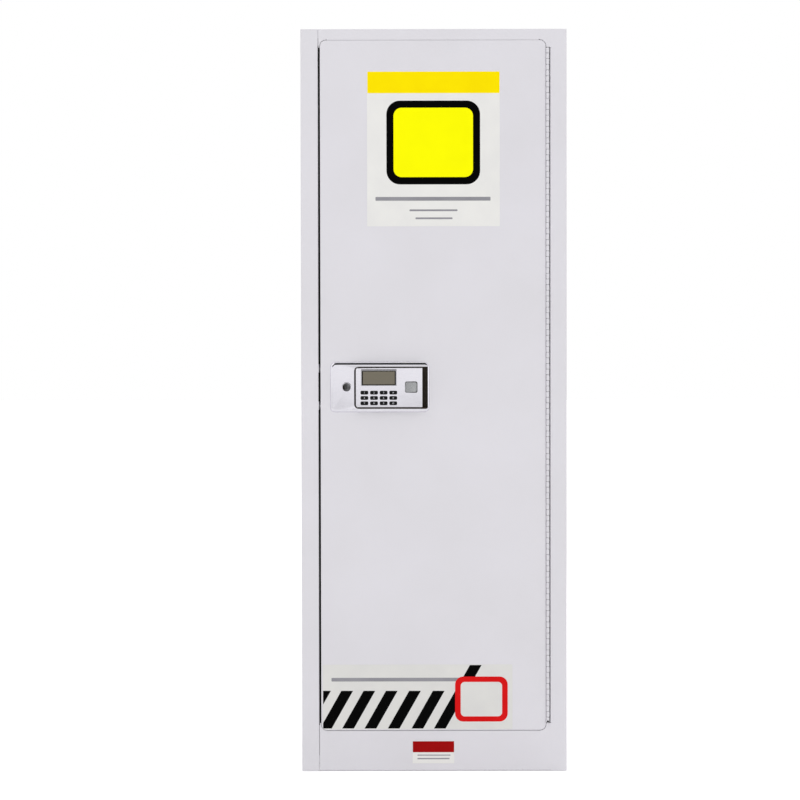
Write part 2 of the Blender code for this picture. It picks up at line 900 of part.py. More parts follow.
def vent_cap(side):
    """Screw cap with a grip bar over the vent's threaded end."""
    foot = vent_flange_proud + clear
    roof = vent_flange_proud + vent_thread_proud + clear
    top = roof + vent_cap_wall
    profile = [(vent_tube_radius + clear, foot), (vent_cap_radius, foot), (vent_cap_radius, top),
               (0.0, top), (0.0, roof), (vent_tube_radius + clear, roof)]
    centre = (back - vent_from_back, vent_place(side))
    cap = turned(outward(side, profile), "X", centre, vent_sides)
    low, high = sorted((side * (half_width + top - vent_cap_wall / 2),
                        side * (half_width + top + vent_cap_grip)))
    grip_reach = vent_cap_radius - vent_cap_wall
    grip = block((low, high), grown_span((centre[0], centre[0]), vent_grip_width / 2),
                 grown_span((centre[1], centre[1]), grip_reach))
    return joined(cap, grip)


def foot(place):
    """Levelling foot: pad and stem."""
    profile = [(0.0, 0.0), (foot_radius - foot_taper, 0.0), (foot_radius, foot_taper),
               (foot_radius, foot_height), (foot_stem_radius, foot_height + foot_taper),
               (foot_stem_radius, foot_stem_top), (0.0, foot_stem_top)]
    return turned(profile, "Z", place, foot_sides)


# Piano hinge


def leaf(side, turn):
    """One hinge leaf: a strip whose edge is curled round the pin at every second knuckle."""
    outer_x = hinge_x + side * hinge_knuckle_reach
    inner_x = outer_x - side * hinge_leaf_sheet
    notch_y = hinge_y + hinge_knuckle_radius + clear
    strip = block(sorted((outer_x, inner_x)), (notch_y, notch_y + hinge_leaf_depth),
                  (hinge_bottom, hinge_bottom + hinge_length))
    curl = round_outline((hinge_x, hinge_y), hinge_knuckle_radius, hinge_knuckle_sides)
    bore = round_outline((hinge_x, hinge_y), hinge_pin_radius + hinge_pin_gap, hinge_bore_sides)
    knuckles = []
    necks = []
    for number in range(turn, hinge_knuckle_count, 2):
        low = hinge_bottom + number * hinge_knuckle_pitch + hinge_knuckle_gap / 2
        high = low + hinge_knuckle_pitch - hinge_knuckle_gap
        knuckles.append(tube(curl, bore, low, high))
        necks.append(block(sorted((outer_x, inner_x)), (hinge_y, notch_y + hinge_leaf_sheet),
                           (low, high)))
    return flattened(joined(merged(knuckles), merged(necks), strip))


def tube(outline, bore, low, high):
    """An upright tube between an outer and an inner outline."""
    body = bmesh.new()
    edges = []
    for loop in (outline, bore):
        corners = [body.verts.new((x, y, low)) for x, y in loop]
        edges += [body.edges.new((corners[number - 1], corners[number]))
                  for number in range(len(corners))]
    filled = bmesh.ops.triangle_fill(body, use_beauty=True, edges=edges)
    flat = [item for item in filled["geom"] if isinstance(item, bmesh.types.BMFace)]
    grown = bmesh.ops.extrude_face_region(body, geom=flat)
    moved = [item for item in grown["geom"] if isinstance(item, bmesh.types.BMVert)]
    bmesh.ops.translate(body, verts=moved, vec=(0.0, 0.0, high - low))
    bmesh.ops.recalc_face_normals(body, faces=body.faces)
    return body


def hinge_pin():
    """Pin through every knuckle."""
    return rod("Z", (hinge_x, hinge_y), hinge_pin_radius, hinge_bottom,
               hinge_bottom + hinge_length, hinge_pin_sides)


def strike_plate():
    """Plate behind the left return that the bolts run into."""
    high_x = left_edge - sheet - clear
    reach = bolt_radius + strike_margin
    plate = block((high_x - strike_thickness, high_x), grown_span((bolt_y, bolt_y), reach),
                  grown_span((bolt_low_z, bolt_high_z), reach))
    return cut(plate, *bolt_holes(high_x - strike_thickness - overrun, high_x + overrun, bolt_gap))


# Door


def door_outer_panel():
    """Front skin with lips at top and bottom over a box of returns and rear flanges."""
    flange_back = front + door_depth - sheet - clear
    x_span = (door_left, door_right)
    z_span = (door_box_bottom, door_box_top)
    box = block(x_span, (front, flange_back), z_span)
    room = block(grown_span(x_span, -sheet), (front + sheet, flange_back - sheet),
                 grown_span(z_span, -sheet))
    mouth = block(grown_span(x_span, -sheet - door_flange),
                  (flange_back - sheet - overrun, flange_back + overrun),
                  grown_span(z_span, -sheet - door_flange))
    box = cut(cut(box, room), mouth)
    radii = [door_corner_radius] * 4
    outline = rounded_rectangle(door_left, door_right, door_bottom, door_top, radii,
                                door_corner_steps)
    panel = joined(box, prism(outline, "Y", front, front + sheet))
    window = block((boss_left() - clear, boss_right() + clear),
                   (front - overrun, front + sheet + overrun),
                   grown_span(boss_z_span(), clear))
    rod_holes = [rod("Z", (rod_x, rod_y + rod_thickness / 2), rod_nose_radius + clear,
                     level - sheet - overrun, level + sheet + overrun, rod_sides)
                 for level in z_span]
    holes = bolt_holes(door_left - overrun, door_left + sheet + overrun, clear)
    return cut(panel, window, *rod_holes, *holes)


def door_inner_panel():
    """Sheet that closes the door's rear, with a shallow pressed field."""
    x_span = (door_left + sheet, door_right - sheet)
    z_span = (door_box_bottom + sheet, door_box_top - sheet)
    rear = front + door_depth
    near = rear - sheet
    margins = [door_panel_margin, door_panel_margin + door_panel_slope]
    rings = []
    for y, field_y in ((near, near - door_panel_press), (rear, rear - door_panel_press)):
        edge = rectangle_ring(x_span, z_span, 0.0, y)
        brim = rectangle_ring(x_span, z_span, margins[0], y)
        field = rectangle_ring(x_span, z_span, margins[1], field_y)
        rings.append((edge, brim, field))
    inner, outer = rings
    return loft([inner[2], inner[1], inner[0], outer[0], outer[1], outer[2]])


def rectangle_ring(x_span, z_span, inset, y):
    """Four corners of a rectangle drawn in by an inset, at a depth."""
    x_low, x_high = grown_span(x_span, -inset)
    z_low, z_high = grown_span(z_span, -inset)
    return [Vector((x_low, y, z_low)), Vector((x_high, y, z_low)),
            Vector((x_high, y, z_high)), Vector((x_low, y, z_high))]


# Code lock


def boss_left():
    """Left side of the bezel's rear boss."""
    return lock_left + boss_inset


def boss_right():
    """Right side of the bezel's rear boss."""
    return pocket_right + boss_wall


def boss_z_span():
    """Bottom and top of the bezel's rear boss."""
    return (pocket_bottom - boss_wall, pocket_top + boss_wall)


def lock_bezel():
    """Chromed casting: rounded rim, land with the cylinder's hole, and a tub for the flap."""
    rings = []
    for y, inset in [(front - clear, 0.0)] + [
            (lock_front + lock_round * (1 - math.sin(angle)), lock_round * (1 - math.cos(angle)))
            for angle in (math.pi / 2 * step / lock_round_steps
                          for step in range(lock_round_steps + 1))]:
        radii = [lock_corner_radius - inset] * 4
        outline = rounded_rectangle(lock_left + inset, lock_right - inset, lock_bottom + inset,
                                    lock_top - inset, radii, lock_corner_steps)
        rings.append(front_ring(outline, y))
    casting = loft(rings)
    boss = block((boss_left(), boss_right()), (front - lock_round, boss_back), boss_z_span())
    casting = joined(casting, boss)
    rear_room = block((boss_left() + boss_wall, pocket_left - boss_wall),
                      (lock_front + boss_wall, boss_back + overrun),
                      grown_span(boss_z_span(), -boss_wall))
    radii = [flap_corner_radius, 0.0, 0.0, flap_corner_radius]
    pocket = prism(rounded_rectangle(pocket_left, pocket_right, pocket_bottom, pocket_top, radii,
                                     lock_corner_steps),
                   "Y", lock_front - overrun, boss_back - tub_floor)
    casting = cut(casting, rear_room, pocket)
    sleeve = rod("Y", (cylinder_x, lock_z), cylinder_radius + cylinder_boss,
                 lock_front + boss_wall / 2, boss_back, cylinder_sides)
    casting = joined(casting, sleeve)
    bore = rod("Y", (cylinder_x, lock_z), cylinder_radius + clear, lock_front - overrun,
               boss_back + overrun, cylinder_sides)
    pin_bore = rod("Z", (flap_axis_x, flap_axis_y), flap_pin_radius + clear,
                   pocket_bottom - flap_pin_reach - clear, pocket_top + flap_pin_reach + clear,
                   shaft_sides)
    return cut(casting, bore, pin_bore)


def flap_pin():
    """Upright pin that the pull flap turns on."""
    return rod("Z", (flap_axis_x, flap_axis_y), flap_pin_radius, pocket_bottom - flap_pin_reach,
               pocket_top + flap_pin_reach, shaft_sides)


def key_places():
    """Name and middle of each key, row by row from the top left."""
    names = ("key_1", "key_2", "key_3", "key_cancel", "key_4", "key_5", "key_6", "key_0",
             "key_7", "key_8", "key_9", "key_enter")
    left_x = display_x - key_pitch_x * (key_columns - 1) / 2
    return [(name, left_x + key_pitch_x * (number % key_columns),
             key_face_z - key_pitch_z * (number // key_columns))
            for number, name in enumerate(names[:key_columns * key_rows])]


def key_outline(x, z, margin):
    """Outline of a key with its corners cut, grown by a margin."""
    half_x = key_width / 2 + margin
    half_z = key_height / 2 + margin
    return rounded_rectangle(x - half_x, x + half_x, z - half_z, z + half_z, [key_corner] * 4, 1)


def lock_flap():
    """Pull flap: a shell with a round barrel edge, a display recess and the keys' holes."""
    depth_middle = lock_front + flap_depth / 2
    nose = arc((flap_axis_x, depth_middle), flap_depth / 2, math.pi / 2, 1.5 * math.pi,
               lock_corner_steps + 2)
    grip = [(flap_right - flap_edge, lock_front), (flap_right, lock_front + flap_edge),
            (flap_right, lock_front + flap_depth)]
    body = prism(nose + grip, "Z", flap_bottom, flap_top)
    radii = [flap_corner_radius, 0.0, 0.0, flap_corner_radius]
    outline = rounded_rectangle(flap_left - overrun, flap_right + overrun, flap_bottom, flap_top,
                                radii, lock_corner_steps)
    shifted = [(x + (overrun if x < flap_axis_x else 0.0), z) for x, z in outline]
    body = combine(body, prism(shifted, "Y", lock_front - overrun,
                               lock_front + flap_depth + overrun), "INTERSECT")
    room = block(board_x_span(), (lock_front + flap_face, lock_front + flap_depth + overrun),
                 board_z_span())
    recess = block((display_left, display_left + display_width),
                   (lock_front - overrun, lock_front + display_sunk + display_depth + clear),
                   (display_top - display_height, display_top))
    holes = [prism(key_outline(x, z, key_gap), "Y", lock_front - overrun,
                   lock_front + flap_face + overrun) for _, x, z in key_places()]
    bore = rod("Z", (flap_axis_x, flap_axis_y), flap_pin_radius + clear, flap_bottom - overrun,
               flap_top + overrun, shaft_sides)
    return cut(cut(body, room), recess, bore, *holes)


def board_x_span():
    """Left and right of the room behind the flap's face."""
    return (flap_left + flap_depth, flap_right - flap_wall)


def board_z_span():
    """Bottom and top of the room behind the flap's face."""
    return (flap_bottom + flap_wall, flap_top - flap_wall)


def keypad_board():
    """Circuit board that closes the flap's rear."""
    rear = lock_front + flap_depth - clear
    return block(grown_span(board_x_span(), -clear), (rear - board_thickness, rear),
                 grown_span(board_z_span(), -clear))


def display_window():
    """Display in its recess."""
    near = lock_front + display_sunk
    return block(grown_span((display_left, display_left + display_width), -clear),
                 (near, near + display_depth),
                 grown_span((display_top - display_height, display_top), -clear))


def key(x, z):
    """Key cap on a wider boot that keeps it behind the flap's face."""
    seat = lock_front + flap_face + clear
    boot = key_outline(x, z, key_flange)
    cap = key_outline(x, z, 0.0)
    top = key_outline(x, z, -key_top_inset)
    return loft([front_ring(boot, seat + key_boot), front_ring(boot, seat),
                 front_ring(cap, seat), front_ring(top, lock_front - key_proud)])


# Gears and bolt work


def involute(angle):
    """Involute function of a pressure angle."""
    return math.tan(angle) - angle


def pinion_outline(centre):
    """Outline of an involute pinion with a tooth pointing straight down."""
    base = gear_radius * math.cos(gear_pressure_angle)
    root = gear_radius - dedendum_share * gear_module
    tip = gear_radius + gear_module
    half_pitch = math.pi / (2 * gear_teeth) - gear_backlash / (4 * gear_radius)
    flank = []
    for step in range(flank_steps):
        radius = base + (tip - base) * step / (flank_steps - 1)
        spread = half_pitch + involute(gear_pressure_angle) - involute(math.acos(base / radius))
        flank.append((radius, spread))
    flank.insert(0, (root, flank[0][1]))
    outline = []
    for tooth in range(gear_teeth):
        middle = 2 * math.pi * tooth / gear_teeth - math.pi / 2
        for radius, spread in flank:
            outline.append((radius, middle - spread))
        for radius, spread in reversed(flank):
            outline.append((radius, middle + spread))
    return [(centre[0] + radius * math.cos(angle), centre[1] + radius * math.sin(angle))
            for radius, angle in outline]


def pinion(x):
    """Pinion over the rack, in the plane of the bolts."""
    return prism(pinion_outline((x, lock_z)), "Y", gear_y, gear_y + gear_width)


def key_cylinder():
    """Cylinder plug with a keyway, a pinion on its tail and a journal."""
    centre = (cylinder_x, lock_z)
    neck = boss_back + clear
    plug = rod("Y", centre, cylinder_radius, lock_front + cylinder_sunk, neck, cylinder_sides)
    tail = rod("Y", centre, journal_radius, neck - overrun, case_back, shaft_sides)
    plug = joined(plug, tail, pinion(cylinder_x))
    keyway = block(grown_span((cylinder_x, cylinder_x), keyway_width / 2),
                   (lock_front - overrun, lock_front + keyway_depth),
                   grown_span((lock_z, lock_z), keyway_length / 2))
    return cut(plug, keyway)


def motor_front():
    """Depth of the motor's front face."""
    return gear_y + gear_width + motor_gap


def drive_gear():
    """Pinion on the shaft that the motor turns."""
    shaft = rod("Y", (motor_x, lock_z), shaft_radius, gear_y - motor_gap,
                motor_front() + motor_length / 2, shaft_sides)
    return joined(pinion(motor_x), shaft)


def drive_motor():
    """Motor can on the case floor with a blind bore for its shaft."""
    can = rod("Y", (motor_x, lock_z), motor_radius, motor_front(), case_floor - clear, motor_sides)
    bore = rod("Y", (motor_x, lock_z), shaft_radius + clear, motor_front() - overrun,
               motor_front() + motor_length / 2 + clear, shaft_sides)
    return cut(can, bore)


def rack_outline():
    """Toothed bar below the pinions, tooth spaces under their lowest teeth."""
    left = cylinder_x - gear_radius - gear_module - carriage_margin
    right = motor_x + gear_radius + bolt_throw
    root = rack_line - dedendum_share * gear_module
    tip = rack_line + gear_module
    slope = math.tan(gear_pressure_angle)
    half_line = gear_pitch / 4 - gear_backlash / 4
    half_root = half_line + (rack_line - root) * slope
    half_tip = half_line - (tip - rack_line) * slope
    outline = [(left, root - rack_height), (right, root - rack_height), (right, root)]
    teeth = []
    first = math.ceil((left + half_root - cylinder_x) / gear_pitch - 0.5)
    last = math.floor((right - half_root - cylinder_x) / gear_pitch - 0.5)
    for number in range(first, last + 1):
        teeth.append(cylinder_x + (number + 0.5) * gear_pitch)
    for middle in reversed(teeth):
        outline += [(middle + half_root, root), (middle + half_tip, tip),
                    (middle - half_tip, tip), (middle - half_root, root)]
    outline.append((left, root))
    return outline


def slant_slot(up):
    """Slot at 45 degrees that turns the carriage's slide into a rod's lift."""
    radius = (rod_pin_radius + clear) / math.cos(math.pi / shaft_sides)
    start = (rod_x, lock_z + up * rod_start)
    end = (start[0] + bolt_throw, start[1] + up * bolt_throw)
    along = up * math.pi / 4
    first = arc(end, radius, along - math.pi / 2, along + math.pi / 2, shaft_sides // 2)
    second = arc(start, radius, along + math.pi / 2, along + 1.5 * math.pi, shaft_sides // 2)
    return prism(first + second, "Y", bolt_y - carriage_thickness, bolt_y + carriage_thickness)


def bolt_carriage():
    """Slide plate with two bolts, a rack and two slanting slots."""
    y_span = grown_span((bolt_y, bolt_y), carriage_thickness / 2)
    plate = block((carriage_left, carriage_right), y_span,
                  grown_span((bolt_low_z, bolt_high_z), carriage_edge))
    bite_left = cylinder_x - gear_radius - gear_module - carriage_margin
    root = rack_line - dedendum_share * gear_module
    bite = block((bite_left, carriage_right + overrun), grown_span(y_span, overrun),
                 (root, lock_z + gear_radius + gear_module + carriage_margin))
    plate = cut(plate, bite, slant_slot(1), slant_slot(-1))
    bolts = [rod("X", (bolt_y, height), bolt_radius, bolt_tip, carriage_left + bolt_tail,
                 bolt_sides) for height in (bolt_low_z, bolt_high_z)]
    return joined(plate, prism(rack_outline(), "Y", *y_span), merged(bolts))


def locking_rod(up):
    """Flat rod with a drive pin at one end and a round nose at the other."""
    start = lock_z + up * rod_start
    edge = door_box_top if up > 0 else door_box_bottom
    tip = edge - up * clear
    bar_end = edge - up * rod_nose_length
    half = rod_width / 2
    bar = block((rod_x - half, rod_x + half), (rod_y, rod_y + rod_thickness),
                sorted((start - up * half, bar_end)))
    low, high = sorted((bar_end - up * half, tip))
    nose = rod("Z", (rod_x, rod_y + rod_thickness / 2), rod_nose_radius, low, high, rod_sides)
    pin = rod("Y", (rod_x, start), rod_pin_radius, bolt_y - carriage_thickness / 2 - rod_pin_past,
              rod_y + rod_thickness / 2, shaft_sides)
    return joined(bar, nose, pin)


def lock_case():
    """Tray behind the bezel that guides the bolts, the rods and the cylinder's journal."""
    x_span = (case_left, case_right)
    z_span = (case_bottom, case_top)
    tray = block(x_span, (case_front, case_back), z_span)
    room = block(grown_span(x_span, -case_sheet), (case_front - overrun, case_floor),
                 grown_span(z_span, -case_sheet))
    slots = [block(grown_span((rod_x, rod_x), rod_width / 2 + clear),
                   grown_span((rod_y, rod_y + rod_thickness), clear),
                   (level - case_sheet - overrun, level + case_sheet + overrun))
             for level in z_span]
    journal = rod("Y", (cylinder_x, lock_z), journal_radius + clear, case_floor - overrun,
                  case_back + overrun, shaft_sides)
    holes = bolt_holes(case_left - overrun, case_left + case_sheet + overrun, clear)
    return cut(cut(tray, room), journal, *slots, *holes)


def build_cabinet(finishes):
    """Fixed body, liner, shelves, vents and feet."""
    paint, galvanised, inside, steel = (finishes[name] for name in
                                        ("paint", "galvanised", "inside", "steel"))
    fixed = [("left_side_panel", left_side_panel(), paint),
             ("right_side_panel", right_side_panel(), paint),
             ("back_panel", back_panel(), paint),
             ("top_panel", top_panel(), paint),
             ("base_panel", base_panel(), paint),
             ("top_rail", top_rail(), paint),
             ("bottom_rail", bottom_rail(), paint),
             ("liner_left", liner_side(-1), inside),
             ("liner_right", liner_side(1), inside),
             ("liner_back", liner_back(), inside),
             ("liner_top", liner_top(), inside),
             ("sump_pan", sump_pan(), inside),
             ("strike_plate", strike_plate(), steel),
             ("hinge_leaf_frame", leaf(1, 1), paint),
             ("hinge_pin", hinge_pin(), steel),
             ("shelf_lower", shelf(lower_shelf_slot), galvanised),
             ("shelf_upper", shelf(upper_shelf_slot), galvanised)]
    for name, body, finish in fixed:
        finish_object(name, body, finish)
    for hand, side in both_signs():
        for row, y in standard_rows():
            finish_object(f"standard_{hand}_{row}", standard(side, y), galvanised)
        for level, slot in (("lower", lower_shelf_slot), ("upper", upper_shelf_slot)):
            finish_object(f"support_{level}_{hand}", support(side, slot), galvanised)
        finish_object(f"vent_collar_{hand}", vent_collar(side), steel)
        axis = (side * half_width, back - vent_from_back, vent_place(side))
        finish_object(f"vent_cap_{hand}", vent_cap(side), finishes["cap"], origin=axis)
    for name, place in foot_places():
        finish_object(name, foot(place), steel, origin=(*place, 0.0))


def build_door(finishes):
    """Door, its hinge leaf and the bolt work, on the hinge's axis."""
    paint, chrome, steel = (finishes[name] for name in ("paint", "chrome", "steel"))
    hinge_axis = empty("hinge_axis", (hinge_x, hinge_y, 0.0))
    for name, body, finish in (("door_outer_panel", door_outer_panel(), paint),
                               ("door_inner_panel", door_inner_panel(), paint),
                               ("hinge_leaf_door", leaf(-1, 0), paint),
                               ("lock_bezel", lock_bezel(), chrome),
                               ("flap_pin", flap_pin(), steel),
                               ("lock_case", lock_case(), steel),
                               ("drive_motor", drive_motor(), steel)):
        finish_object(name, body, finish, hinge_axis)
    finish_object("bolt_carriage", bolt_carriage(), steel, hinge_axis,
                  origin=(bolt_tip, bolt_y, lock_z))
    finish_object("key_cylinder", key_cylinder(), chrome, hinge_axis,
                  origin=(cylinder_x, lock_front, lock_z))
    finish_object("drive_gear", drive_gear(), steel, hinge_axis, origin=(motor_x, gear_y, lock_z))
    for name, up in (("rod_upper", 1), ("rod_lower", -1)):
        finish_object(name, locking_rod(up), steel, hinge_axis,
                      origin=(rod_x, rod_y, lock_z + up * rod_start))
    build_flap(finishes, hinge_axis)


def build_flap(finishes, hinge_axis):
    """Pull flap with its display, board and keys, on the flap pin's axis."""
    flap_axis = empty("flap_axis", (flap_axis_x, flap_axis_y, flap_z), hinge_axis)
    finish_object("lock_flap", lock_flap(), finishes["chrome"], flap_axis)
    finish_object("keypad_board", keypad_board(), finishes["board"], flap_axis)
    finish_object("display_window", display_window(), finishes["display"], flap_axis)
    for name, x, z in key_places():
        finish_object(name, key(x, z), finishes["key"], flap_axis, origin=(x, lock_front, z))


def main():
    clear_scene()
    finishes = {
        "paint": material("pale_grey_paint", (0.73, 0.72, 0.75), 0.42, 0.0),
        "inside": material("pale_grey_inside_paint", (0.70, 0.70, 0.72), 0.5, 0.0),
        "galvanised": material("galvanised_steel", (0.56, 0.58, 0.60), 0.38, 0.9),
        "steel": material("plated_steel", (0.60, 0.60, 0.62), 0.3, 1.0),
        "chrome": material("satin_chrome", (0.78, 0.77, 0.80), 0.12, 1.0),
        "key": material("black_key_plastic", (0.02, 0.02, 0.022), 0.4, 0.0),
        "display": material("display_glass", (0.18, 0.155, 0.13), 0.15, 0.0),
        "board": material("green_circuit_board", (0.03, 0.16, 0.07), 0.45, 0.0),
        "cap": material("grey_cap_plastic", (0.25, 0.25, 0.26), 0.5, 0.0),
    }
    build_cabinet(finishes)
    build_door(finishes)


main()
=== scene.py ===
"""Looks of the toxic substance cabinet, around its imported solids.

Metres, +Z up, the front faces -Y. New pieces are surfaces worked out on grids of two
parameters or carried along an outline; each function says its formula in words.
"""
import json
import math

import bmesh
import bpy
import numpy as np
from mathutils import Matrix, Vector


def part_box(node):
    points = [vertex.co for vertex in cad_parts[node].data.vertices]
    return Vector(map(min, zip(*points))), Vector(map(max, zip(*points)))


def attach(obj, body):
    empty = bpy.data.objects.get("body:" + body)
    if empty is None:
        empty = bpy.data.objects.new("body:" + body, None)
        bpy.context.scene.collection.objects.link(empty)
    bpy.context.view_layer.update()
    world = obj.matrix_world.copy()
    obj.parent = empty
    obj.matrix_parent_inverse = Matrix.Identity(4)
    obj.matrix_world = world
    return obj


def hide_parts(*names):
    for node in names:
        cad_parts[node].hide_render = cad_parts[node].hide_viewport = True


# Sizes of the solids that their boxes don't tell
front = -0.22025
half_width = 0.295
hinge_x, hinge_y = 0.2528, -0.22125
hinge_bottom = 0.10875
knuckle_pitch = 0.0125
knuckle_count = 120
knuckle_gap = 0.0008
hinge_top = hinge_bottom + knuckle_pitch * knuckle_count
leaf_sheet = 0.001
leaf_depth = 0.027
leaf_start = hinge_y + 0.0035
leaf_reach = 0.0037
finger_slot = 0.0119
flap_play = 0.0012
flap_depth = 0.010
flap_face = 0.0032
flap_wall = 0.003
flap_corner = 0.008
boss_inset = 0.0085
boss_wall = 0.003
boss_back = -0.20645
pocket_floor = -0.20825
cylinder_radius = 0.0082
stop_face = -0.17725
stile_edge = -0.2557
bolt_y = -0.20125
bolt_spread = 0.083

# The camera: its aim on the front's plane, metres to a pixel there, and its slight lean
aim_x, aim_z = -0.07534275, 0.8281476
camera_pixel = 0.0022225
camera_distance = 5.0
camera_tilt = math.radians(1.165)
camera_roll = math.radians(0.098)
picture_size = 800
camera_place = Vector((aim_x, front - camera_distance * math.cos(camera_tilt),
                       aim_z + camera_distance * math.sin(camera_tilt)))
camera_turn = Matrix.Rotation(camera_roll, 3, "Y") @ Matrix.Rotation(math.pi / 2 - camera_tilt,
                                                                     3, "X")


# Helpers


def linear(colour):
    """An sRGB hex colour turned into linear values with alpha."""
    parts = [int(colour[place:place + 2], 16) / 255 for place in (0, 2, 4)]
    return tuple(part / 12.92 if part <= 0.04045 else ((part + 0.055) / 1.055) ** 2.4
                 for part in parts) + (1.0,)


def add(tree, kind, inputs=None, **settings):
    """A node with its settings; an input takes a value or another node's output."""
    node = tree.nodes.new(kind)
    for name, value in settings.items():
        setattr(node, name, value)
    for name, value in (inputs or {}).items():
        if isinstance(value, bpy.types.NodeSocket):
            tree.links.new(value, node.inputs[name])
        else:
            node.inputs[name].default_value = value
    return node


def principled(name, colour, **sockets):
    """A new material: its tree, its shader and its Object coordinates."""
    material = bpy.data.materials.new(name)
    material.use_nodes = True
    tree = material.node_tree
    shader = tree.nodes["Principled BSDF"]
    shader.inputs["Base Color"].default_value = linear(colour)
    material.diffuse_color = linear(colour)
    for socket, value in sockets.items():
        shader.inputs[socket.replace("_", " ")].default_value = value
    place = add(tree, "ShaderNodeTexCoord").outputs["Object"]
    return material, tree, shader, place


def wire(shader, **outputs):
    """Link outputs to the shader's sockets, whose names are written with underscores."""
    for socket, output in outputs.items():
        shader.id_data.links.new(output, shader.inputs[socket.replace("_", " ")])


def ramp(tree, factor, stops):
    """A colour ramp through (place, hex colour) stops."""
    node = add(tree, "ShaderNodeValToRGB", {"Fac": factor})
    while len(node.color_ramp.elements) < len(stops):
        node.color_ramp.elements.new(1.0)
    for element, (place, colour) in zip(node.color_ramp.elements, stops):
        element.position = place
        element.color = linear(colour)
    return node.outputs["Color"]


def outcome(tree, operation, first, second):
    """What an operation makes of two values or outputs."""
    return add(tree, "ShaderNodeMath", {0: first, 1: second}, operation=operation).outputs[0]


def span_map(tree, value, low, high):
    """A 0 to 1 value spread from low to high."""
    return add(tree, "ShaderNodeMapRange",
               {"Value": value, "To Min": low, "To Max": high}).outputs["Result"]


def noise(tree, place, grain, detail=2.0, **settings):
    """Noise whose features are about a grain in metres across."""
    return add(tree, "ShaderNodeTexNoise", {"Vector": place, "Scale": 1 / grain, "Detail": detail},
               **settings).outputs["Fac"]


def bump(tree, height, depth, **under):
    """Surface relief of a depth in metres from a 0 to 1 height, over another normal if given."""
    return add(tree, "ShaderNodeBump", {"Height": height, "Distance": depth, **under}
               ).outputs["Normal"]


def stretched(tree, place, scale):
    """Coordinates with each axis multiplied, which draws a pattern out along the small ones."""
    return add(tree, "ShaderNodeMapping", {"Vector": place, "Scale": scale}).outputs["Vector"]


# Finishes


def powder_coat(name, deep, pale, roughness=0.42):
    """Baked epoxy powder coat on steel: satin, with a soft orange peel from the flowed powder.

    The real peel is 2 to 3 mm across; it is drawn 5 mm across so that it shows.
    """
    material, tree, shader, place = principled(name, pale)
    cloud = noise(tree, place, 0.22, 3.0)
    peel = bump(tree, noise(tree, place, 0.005, 1.0), 0.00006)
    wire(shader, Base_Color=ramp(tree, cloud, [(0.3, deep), (0.7, pale)]),
         Normal=bump(tree, noise(tree, place, 0.0016, 1.0), 0.00001, Normal=peel),
         Roughness=span_map(tree, cloud, roughness - 0.05, roughness + 0.05))
    return material


def galvanised_steel(name):
    """Hot-dip galvanised sheet: zinc crystals about 9 mm across that shine differently."""
    material, tree, shader, place = principled(name, "B4B9BD", Metallic=0.85)
    cells = add(tree, "ShaderNodeTexVoronoi", {"Vector": place, "Scale": 1 / 0.009})
    crystal = add(tree, "ShaderNodeSeparateColor", {"Color": cells.outputs["Color"]}).outputs["Red"]
    wire(shader, Base_Color=ramp(tree, crystal, [(0.0, "A4AAAF"), (1.0, "C3C8CB")]),
         Roughness=span_map(tree, crystal, 0.32, 0.50), Normal=bump(tree, crystal, 0.00002))
    return material


def zinc_plate(name, colour="C3C4C6", roughness=0.26):
    """Bright zinc plate on turned or pressed steel: cool, with fine drawing lines along it."""
    material, tree, shader, place = principled(name, colour, Metallic=1.0)
    lines = noise(tree, stretched(tree, place, (1.0, 1.0, 0.12)), 0.0012, 3.0)
    wire(shader, Base_Color=ramp(tree, noise(tree, place, 0.018), [(0.3, "B2B3B6"), (0.7, colour)]),
         Roughness=span_map(tree, lines, roughness - 0.06, roughness + 0.10),
         Normal=bump(tree, lines, 0.00001))
    return material


def chrome_plate(name):
    """Bright chromium on a zinc casting: mirror-like, with the casting's slow ripple."""
    material, tree, shader, place = principled(name, "ECEAF1", Metallic=1.0)
    wipe = noise(tree, stretched(tree, place, (0.35, 1.0, 1.0)), 0.006, 3.0)
    wire(shader, Normal=bump(tree, noise(tree, place, 0.030), 0.00004),
         Roughness=span_map(tree, wipe, 0.06, 0.11),
         Base_Color=ramp(tree, wipe, [(0.25, "E7E5ED"), (0.75, "ECEAF1")]))
    return material


def moulded_plastic(name, colour, shade, grain, roughness, sheen=0.5):
    """Injection-moulded plastic with a spark-eroded grain."""
    material, tree, shader, place = principled(name, colour, Specular_IOR_Level=sheen)
    pits = noise(tree, place, grain)
    wire(shader, Base_Color=ramp(tree, pits, [(0.3, shade), (0.7, colour)]),
         Roughness=span_map(tree, pits, roughness - 0.06, roughness + 0.06),
         Normal=bump(tree, pits, 0.00003))
    return material


def printed_vinyl(name, colour, shade, roughness=0.38, sheen=0.5):
    """Cast vinyl film with screen-printed ink: even colour, a faint emboss from the roller."""
    material, tree, shader, place = principled(name, colour, Specular_IOR_Level=sheen)
    emboss = noise(tree, place, 0.004)
    wire(shader, Base_Color=ramp(tree, noise(tree, place, 0.05), [(0.3, shade), (0.7, colour)]),
         Normal=bump(tree, emboss, 0.00002),
         Roughness=span_map(tree, emboss, roughness - 0.04, roughness + 0.04))
    return material


def display_glass(name):
    """Clear window over an unlit grey-green liquid crystal with its fine column lines.

    The real columns are 0.4 mm apart; they are drawn 1.6 mm apart so that they show.
    """
    material, tree, shader, place = principled(name, "665F4E", Roughness=0.16, Coat_Weight=0.6,
                                               Coat_Roughness=0.05)
    column_pitch, bands_per_unit = 0.0016, 3.1
    columns = add(tree, "ShaderNodeTexWave",
                  {"Vector": place, "Scale": 1 / column_pitch / bands_per_unit},
                  bands_direction="X").outputs["Fac"]
    wire(shader, Base_Color=ramp(tree, columns, [(0.0, "625B4A"), (1.0, "6A6352")]))
    return material


